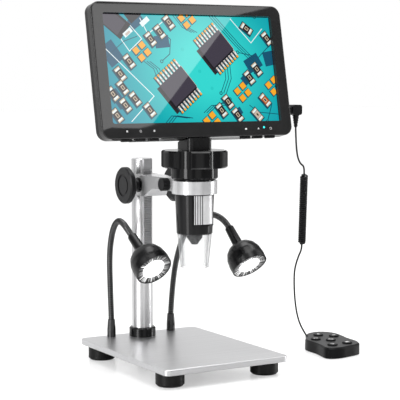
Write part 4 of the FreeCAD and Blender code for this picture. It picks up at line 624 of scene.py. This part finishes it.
# Each leg of a chip, from the board up: its outline, pad, shadow, metal and two glints.
# A shape has its colour, layer, shift along the row, distance out from the chip, width and length.
CHIP_LEG_SHAPES = [
    ("trace", 6, -0.6, 3.4, 2.6, 9.6), ("gold", 7, 0.0, 4.0, 1.7, 7.6), ("shade", 8, -0.1, 2.8, 2.3, 6.4),
    ("pin", 9, 0.2, 2.9, 1.7, 6.4), ("white", 10, 0.4, 4.3, 1.1, 2.2), ("white", 10, 0.4, 1.0, 0.9, 1.8),
]


def chip(u, v, length, width, legs):
    """Black chip with a row of bright legs along both long sides, and its shadow on the board."""
    x, y = on_board(u, v, -3.0, -2.6)
    flat("shade", 5, x, y, length + 1, width + 5, BOARD_TURN)
    for row in (-1, 1):
        for leg in range(legs):
            along = (leg - (legs - 1) / 2) * length / legs
            for colour, layer, shift, reach, leg_width, leg_length in CHIP_LEG_SHAPES:
                x, y = on_board(u, v, along + shift, row * (width / 2 + reach))
                flat(colour, layer, x, y, leg_width, leg_length, BOARD_TURN)
    x, y = on_board(u, v, -1.3, -1.1)
    flat("side", 11, x, y, length + 0.8, width + 0.6, BOARD_TURN)
    flat("body", 12, u, v, length, width, BOARD_TURN)
    x, y = on_board(u, v, length / 2 - 0.2, 0)
    flat("pin", 13, x, y, 0.35, width, BOARD_TURN)


def small_part(u, v, turn=0.0, body="shade"):
    """Two-ended part: a dark outline, pale ends and a dark middle with a pale patch."""
    turn += BOARD_TURN + math.radians(88)
    across, up = math.cos(turn), math.sin(turn)
    flat("trace", 6, u - 0.4, v - 0.5, 13.0, 7.6, turn)
    flat("shade", 7, u, v, 11.4, 6.0, turn)
    for end in (-1, 1):
        flat("tan", 8, u + end * 4.3 * across, v + end * 4.3 * up, 2.5, 5.2, turn)
        flat("white", 9, u + end * 3.9 * across, v + end * 3.9 * up, 1.5, 4.2, turn)
    flat(body, 9, u, v, 5.6, 5.0, turn)
    flat("tan", 10, u, v, 3.6, 2.6, turn)
    flat("shade", 11, u, v, 2.4, 1.3, turn)


def gold_pads(u, v):
    """Four square gold pads in a block, each with a dark edge."""
    for along in (-3.6, 3.6):
        for across in (-3.6, 3.6):
            x, y = on_board(u, v, along, across)
            flat("trace", 6, x - 0.3, y - 0.3, 6.2, 6.2, BOARD_TURN)
            flat("gold", 7, x, y, 4.9, 4.9, BOARD_TURN)


def run(points, width=0.7, colour="trace"):
    """Run of copper through a few points, with round corners."""
    for (u0, v0), (u1, v1) in zip(points, points[1:]):
        length = math.hypot(u1 - u0, v1 - v0)
        flat(colour, 3, (u0 + u1) / 2, (v0 + v1) / 2, length, width, math.atan2(v1 - v0, u1 - u0))
        flat(colour, 3, u1, v1, width, width, 0, 8)


def via(u, v, colour="trace"):
    """Ring where a run of copper passes through the board."""
    flat(colour, 4, u, v, 3.0, 3.0, 0, 18)
    flat("light", 5, u, v, 1.7, 1.7, 0, 18)


flat("mask", 0, 0, 0, PICTURE_WIDTH * 1000, PICTURE_HEIGHT * 1000)
for u, v, width, height, turn in ((-26, 22, 13, 10, 0.1), (58, 5, 15, 12, 0.5), (-72, 12, 14, 18, 0.6),
                                  (-70, -24, 8, 16, 0.6), (74, 9, 10, 12, 0.2), (50, -8, 9, 8, 0.7),
                                  (-48, 38, 14, 9, 0.6), (38, -36, 9, 6, 0.5)):
    flat("deep", 1, u, v, width, height, turn)
for offset in (0, 2.6, 5.2):
    run([(20 + offset, 44), (42 + offset, 20), (58 + offset, 5), (58 + offset, -4)], 0.6)
    run([(30 + offset, 8), (30 + offset, -8), (24 + offset, -20)], 0.6)
    run([(-14 + offset, 44), (-6 + offset, 34), (2 + offset, 30)], 0.6)
    run([(-44 + offset, 6), (-36 + offset, 0), (-34 + offset, -6)], 0.6)
    run([(6 + offset, -36), (14 + offset, -30), (32, -30 + offset)], 0.6)
    run([(-30 + offset, -44), (-24 + offset, -38), (-10 + offset, -40)], 0.6)
run([(44, 14), (64, 10), (78, 22)], 0.7)
run([(62, -20), (72, -30), (66, -44)], 0.7)
run([(-30, 34), (-18, 24), (-20, 12), (-28, 6)], 0.7)
run([(-78, 8), (-60, 22), (-48, 26)], 0.6)
run([(50, -30), (58, -36), (78, -38)], 0.6)
run([(-77, 16), (-38, -22), (-60, -42)], 0.7, "white")
run([(-64, 26), (-56, 14), (-44, 24), (-56, 38)], 0.7, "white")
run([(-44, 41), (-38, 28), (-24, 38)], 0.7, "white")
run([(40, 42), (58, 22), (70, 34)], 0.7, "white")
for u, v in ((-30, 34), (-28, 6), (44, 14), (24, -20), (-34, -6), (66, -44), (32, -25), (-50, 12), (64, 44)):
    via(u, v)
for u, v in ((-8, 16), (16, -16), (6, -2)):
    via(u, v, "light")
chip(-15, -14, 27, 21, 8)
chip(24, 17, 26, 20, 8)
flat("side", 11, -67, 37, 24, 16, BOARD_TURN - math.radians(78))
flat("body", 12, -69, 38, 20, 13, BOARD_TURN - math.radians(78))
flat("side", 11, -50, 44, 13, 10, BOARD_TURN)
flat("white", 13, -56, 29, 9, 4, BOARD_TURN)
flat("pin", 14, -56, 28.4, 5, 2, BOARD_TURN)
flat("white", 13, -40, 38, 9, 4, BOARD_TURN)
for u, v in ((-45, 14), (-1, 41), (45, -19), (13, -43), (76, -14)):
    gold_pads(u, v)
for u, v in ((-27, 30), (-36, 24), (-18, 38), (-57, 6), (-66, -4), (-65, -15), (-55, -24), (-64, -29),
             (-43, -33), (-74, -20), (-72, -37), (61, 0), (53, -7), (30, -27), (23, -34), (38, -38), (74, 26)):
    small_part(u, v)
small_part(55, 34, 0.3, "side")
small_part(66, -26, 0.1, "brown")
small_part(57, -38, 0.1, "pin")

bpy.ops.object.select_all(action="DESELECT")
for shape in picture_parts:
    shape.select_set(True)
bpy.context.view_layer.objects.active = picture_parts[0]
bpy.ops.object.join()
picture = bpy.context.object
for side, limit in (((1, 0, 0), PICTURE_WIDTH / 2), ((-1, 0, 0), PICTURE_WIDTH / 2),
                    ((0, 1, 0), PICTURE_HEIGHT / 2), ((0, -1, 0), PICTURE_HEIGHT / 2)):
    bpy.ops.object.mode_set(mode="EDIT")
    bpy.ops.mesh.select_all(action="SELECT")
    edge_point = Vector(side) * limit
    bpy.ops.mesh.bisect(plane_co=edge_point, plane_no=side, clear_outer=True)
    bpy.ops.object.mode_set(mode="OBJECT")
behind_window = Matrix.Translation((0, PICTURE_DEPTH - PICTURE_LIFT, 0))
lay_on_panel = behind_window @ Matrix.Rotation(math.radians(90), 4, "X")
picture.data.transform(screen_matrix @ lay_on_panel)
picture.name = "display_picture"
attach(picture, "screen")
bpy.ops.object.select_all(action="DESELECT")

# Lamp heads: glossy black moulded shades, each with a dark chrome cone round a lit collimator lens.
# The lens is a clear moulded cone over the diode; the rays of its light reflected in the chrome are painted on
# the cone as fine glowing streaks.
LAMP_LENS = [
    (0.0064, 0.0309), (0.0072, 0.0332), (0.0083, 0.0365), (0.0092, 0.0392), (0.0094, 0.0396),
    (0.0090, 0.0400), (0.0065, 0.0403), (0.0030, 0.0404), (0.0002, 0.0404),
]
LAMP_CONE = [
    (0.0095, 0.0394), (0.0118, 0.0396), (0.0142, 0.0400), (0.0143, 0.0403), (0.0117, 0.0399), (0.0095, 0.0397),
]
CONE_UV_SCALE = 100
lamp_places = {
    "left": (Vector((-0.041, 0.0093, 0.1106)), Vector((0.077, -0.799, -0.596))),
    "right": (Vector((0.0492, 0.0036, 0.1131)), Vector((0.10, -0.662, -0.744))),
}
lamp_light = lit("lamp_light", (1.0, 1.0, 1.0), 3.2)
# Painted reflection: the chrome cone glows in fine radial streaks that fade out from the lens, in place of the
# lamp's light mirrored in it.
painted_ray_finish, nodes, links = plain_material("chrome_painted_rays")
shader = nodes["Principled BSDF"]
shader.inputs["Base Color"].default_value = (0.02, 0.02, 0.02, 1)
shader.inputs["Roughness"].default_value = 0.2
shader.inputs["Emission Color"].default_value = (1, 1, 1, 1)
across_lamp = nodes.new("ShaderNodeUVMap")
across_lamp.uv_map = "across_lamp"
turn_only = nodes.new("ShaderNodeVectorMath")
turn_only.operation = "NORMALIZE"
out_from_lens = nodes.new("ShaderNodeVectorMath")
out_from_lens.operation = "LENGTH"
rays = nodes.new("ShaderNodeTexNoise")
rays.inputs["Scale"].default_value = 17.0
rays.inputs["Detail"].default_value = 2
links.new(across_lamp.outputs["UV"], turn_only.inputs[0])
links.new(across_lamp.outputs["UV"], out_from_lens.inputs[0])
links.new(turn_only.outputs["Vector"], rays.inputs["Vector"])
fall = nodes.new("ShaderNodeMapRange")
fall.inputs["From Min"].default_value = 0.98
fall.inputs["From Max"].default_value = 1.42
fall.inputs["To Min"].default_value = 0.05
fall.inputs["To Max"].default_value = -0.015
links.new(out_from_lens.outputs["Value"], fall.inputs["Value"])
total = nodes.new("ShaderNodeMath")
total.operation = "ADD"
links.new(rays.outputs["Fac"], total.inputs[0])
links.new(fall.outputs["Result"], total.inputs[1])
streak = nodes.new("ShaderNodeMapRange")
streak.inputs["From Min"].default_value = 0.55
streak.inputs["From Max"].default_value = 0.63
streak.inputs["To Max"].default_value = 1.4
links.new(total.outputs["Value"], streak.inputs["Value"])
links.new(streak.outputs["Result"], shader.inputs["Emission Strength"])


def lay_along(piece, start, axis):
    """Turn a piece drawn up the z axis so that it starts at a point and runs along a direction."""
    turn = Vector((0, 0, 1)).rotation_difference(axis.normalized()).to_matrix().to_4x4()
    piece.data.transform(Matrix.Translation(start) @ turn)


shade_finish = moulded("shade_black", (0.005, 0.005, 0.0055), 0.24, relief=0.02, shine=0.4)
for side, (stem, axis) in lamp_places.items():
    weld_and_shade(f"lamp_{side}_shade", shade_finish)
    lens = turned_piece(f"lamp_{side}_lens", LAMP_LENS, sides=64)
    lens.data.materials.append(lamp_light)
    lay_along(lens, stem, axis)
    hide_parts(f"lamp_{side}_light")
    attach(lens, f"lamp_{side}")
    cone = turned_piece(f"lamp_{side}_cone", LAMP_CONE, sides=64, loop=True)
    cone.data.materials.append(painted_ray_finish)
    layer = cone.data.uv_layers.new(name="across_lamp")
    for loop in cone.data.loops:
        point = cone.data.vertices[loop.vertex_index].co
        layer.data[loop.index].uv = (point.x * CONE_UV_SCALE, point.y * CONE_UV_SCALE)
    lay_along(cone, stem, axis)
    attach(cone, f"lamp_{side}")
ferrule_finish = moulded("ferrule_black", (0.006, 0.006, 0.0065), 0.14, relief=0.01, shine=0.9)
weld_and_shade("lamp_ferrules", ferrule_finish)


# Bendable lamp necks: a close coil of steel wire with a black finish, wound over a stiff core.
# They stand in the ferrules on the plate and end in the lamps' stems.
def smooth_route(points):
    """Points along the smooth line that follows a list of route points."""
    curve = bpy.data.curves.new("route", "CURVE")
    curve.dimensions = "3D"
    curve.resolution_u = 12
    spline = curve.splines.new("NURBS")
    spline.points.add(len(points) - 1)
    for control, place in zip(spline.points, points):
        control.co = (*place, 1)
    spline.order_u = 3
    spline.use_endpoint_u = True
    holder = bpy.data.objects.new("route", curve)
    bpy.context.collection.objects.link(holder)
    line = bpy.data.meshes.new_from_object(holder)
    found = [vertex.co.copy() for vertex in line.vertices]
    bpy.data.objects.remove(holder)
    bpy.data.meshes.remove(line)
    return found


def even_points(points, spacing):
    """The same line with its points a set distance apart."""
    lengths = [0.0]
    for before, after in zip(points, points[1:]):
        lengths.append(lengths[-1] + (after - before).length)
    count = max(2, round(lengths[-1] / spacing))
    even = []
    place = 0
    for step in range(count + 1):
        target = lengths[-1] * step / count
        while place < len(points) - 2 and lengths[place + 1] < target:
            place += 1
        share = (target - lengths[place]) / max(1e-12, lengths[place + 1] - lengths[place])
        even.append(points[place].lerp(points[place + 1], min(1, max(0, share))))
    return even


def tube_mesh(name, points, radii, sides):
    """Closed tube along points, with a radius for each point."""
    mesh = bpy.data.meshes.new(name)
    build = bmesh.new()
    ahead = (points[1] - points[0]).normalized()
    normal = ahead.orthogonal().normalized()
    rings = []
    for index, (point, radius) in enumerate(zip(points, radii)):
        if index:
            after = points[min(index + 1, len(points) - 1)]
            fresh = (after - points[index - 1]).normalized()
            normal = (ahead.rotation_difference(fresh) @ normal).normalized()
            ahead = fresh
        other = ahead.cross(normal)
        ring = []
        for side in range(sides):
            angle = math.tau * side / sides
            outward = normal * math.cos(angle) + other * math.sin(angle)
            ring.append(build.verts.new(point + radius * outward))
        rings.append(ring)
    for ring, after in zip(rings, rings[1:]):
        for side in range(sides):
            build.faces.new((ring[side], ring[(side + 1) % sides], after[(side + 1) % sides], after[side]))
    build.faces.new(rings[0][::-1])
    build.faces.new(rings[-1])
    bmesh.ops.recalc_face_normals(build, faces=build.faces)
    for face in build.faces:
        face.smooth = len(face.verts) == 4
    build.to_mesh(mesh)
    build.free()
    piece = bpy.data.objects.new(name, mesh)
    bpy.context.collection.objects.link(piece)
    return piece


NECK_RADIUS = 0.0027
NECK_WIRE_PITCH = 0.0016
NECK_WIRE_RELIEF = 0.00042
RINGS_PER_WIRE = 6
NECK_END_RUN = 0.008
NECK_SIDES = 20
neck_routes = {
    "left": [
        (-0.0295, 0.0705, 0.031), (-0.0304, 0.0709, 0.062), (-0.0316, 0.0695, 0.090),
        (-0.0336, 0.059, 0.1115), (-0.0368, 0.0425, 0.1208), (-0.040, 0.0265, 0.1195),
    ],
    "right": [
        (0.0295, 0.0705, 0.031), (0.0313, 0.0704, 0.059), (0.0346, 0.0665, 0.087),
        (0.0375, 0.056, 0.108), (0.0405, 0.0405, 0.1205), (0.0442, 0.0235, 0.124),
    ],
}
neck_finish = moulded("neck_black_steel", (0.006, 0.006, 0.0065), 0.17, relief=0.01, shine=0.9)
for side, route in neck_routes.items():
    stem, axis = lamp_places[side]
    end_run = stem - axis.normalized() * NECK_END_RUN
    line = even_points(smooth_route(route + [tuple(end_run), tuple(stem)]), NECK_WIRE_PITCH / RINGS_PER_WIRE)
    radii = []
    for index in range(len(line)):
        between_wires = 0.5 - 0.5 * math.cos(math.tau * index / RINGS_PER_WIRE)
        radii.append(NECK_RADIUS - NECK_WIRE_RELIEF * between_wires)
    neck = tube_mesh(f"neck_{side}", line, radii, NECK_SIDES)
    neck.data.materials.append(neck_finish)
    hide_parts(f"gooseneck_{side}")
    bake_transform(neck)

# Cord of the remote: a thin round black cord, straight, then a long close curl, then straight again.
# It is one cord of soft rubber, made in three pieces.
CORD_RADIUS = 0.00075
CURL_OUTER_RADIUS = 0.0035
CURL_TOP = Vector((0.1081, -0.0228, 0.1591))
CURL_BOTTOM = Vector((0.1181, -0.0055, 0.0949))
CURL_TURNS = 34
POINTS_PER_TURN = 16
CORD_SIDES = 12
CORD_STEP = 0.0008
cord_upper_route = [
    (0.0952, -0.0285, 0.1989), (0.0957, -0.0281, 0.1905), (0.0972, -0.0270, 0.1805),
    (0.0994, -0.0256, 0.1730), (0.1028, -0.0247, 0.1674), (0.1071, -0.0246, 0.1650),
    (0.1081, -0.0228, 0.1591),
]
cord_lower_route = [
    (0.1181, -0.0055, 0.0949), (0.11877, -0.00434, 0.0906), (0.1186, 0.0004, 0.0843),
    (0.1176, 0.0048, 0.0725), (0.1200, 0.0088, 0.0600), (0.1236, 0.0132, 0.0475),
    (0.1283, 0.0176, 0.0340), (0.1332, 0.0206, 0.0230), (0.1386, 0.0226, 0.0145),
    (0.1444, 0.0240, 0.0074),
]
cord_finish = moulded("cord_rubber", (0.008, 0.008, 0.009), 0.36, relief=0.05)


def lay_cord(name, line, node):
    """Cord along a line, in place of the plain cord of the frame."""
    piece = tube_mesh(name, line, [CORD_RADIUS] * len(line), CORD_SIDES)
    piece.data.materials.append(cord_finish)
    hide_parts(node)
    return piece


upper_line = even_points(smooth_route(cord_upper_route), CORD_STEP)
lower_line = even_points(smooth_route(cord_lower_route), CORD_STEP)
curl_axis = (CURL_BOTTOM - CURL_TOP).normalized()
curl_length = (CURL_BOTTOM - CURL_TOP).length
curl_side = curl_axis.cross(Vector((0, 1, 0))).normalized()
curl_front = curl_axis.cross(curl_side).normalized()
helix = [CURL_TOP]
turn_radius = CURL_OUTER_RADIUS - CORD_RADIUS
steps = CURL_TURNS * POINTS_PER_TURN
for step in range(steps + 1):
    share = step / steps
    ramp = min(1, share * CURL_TURNS, (1 - share) * CURL_TURNS)
    angle = math.tau * share * CURL_TURNS
    place = CURL_TOP + curl_axis * (CORD_RADIUS + share * (curl_length - 2 * CORD_RADIUS))
    helix.append(place + ramp * turn_radius * (curl_side * math.cos(angle) + curl_front * math.sin(angle)))
helix.append(CURL_BOTTOM)
curl_line = smooth_route(helix)[::3]
upper = lay_cord("cord_upper_run", upper_line, "cord_upper")
curl = lay_cord("cord_curl_run", curl_line, "cord_curl")
lower = lay_cord("cord_lower_run", lower_line, "cord_lower")
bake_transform(upper)
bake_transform(curl)
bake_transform(lower)
for node in ("remote_plug", "remote_gland"):
    weld_and_shade(node, cord_finish)

# Remote: two moulded satin black shells that clip together, with six round rubber keys.
# Each key has a small plain mark printed on its top.
remote_finish = moulded("remote_black", (0.005, 0.005, 0.0055), 0.3, shine=0.13)
key_finish = moulded("remote_key_rubber", (0.008, 0.008, 0.0085), 0.4, shine=0.12)
weld_and_shade("remote_base", remote_finish)
weld_and_shade("remote_cover", remote_finish)
for number in range(1, 7):
    weld_and_shade(f"remote_button_{number}", key_finish)

REMOTE_KEY_TOP = 0.0105
remote_marks = [
    (0.1492, 0.0125, 3, 0.0040, 0.0040, False, 0.3),
    (0.1359, -0.0024, 20, 0.0038, 0.0038, True, 0.0),
    (0.1586, 0.0018, 4, 0.0046, 0.0024, False, SQUARE_TURN),
    (0.1449, -0.0127, 24, 0.0044, 0.0044, True, 0.0),
    (0.1335, -0.0310, 4, 0.0036, 0.0036, True, SQUARE_TURN),
    (0.1499, -0.0301, 4, 0.0052, 0.0036, False, SQUARE_TURN),
]
for number, (x, y, sides, width, height, hollow, turn) in enumerate(remote_marks, start=1):
    mark = printed_mark(f"remote_mark_{number}", sides, width, height, hollow, turn)
    mark.data.transform(Matrix.Translation((x, y, REMOTE_KEY_TOP - MARK_SINK)))
    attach(mark, f"remote_key_{number}")
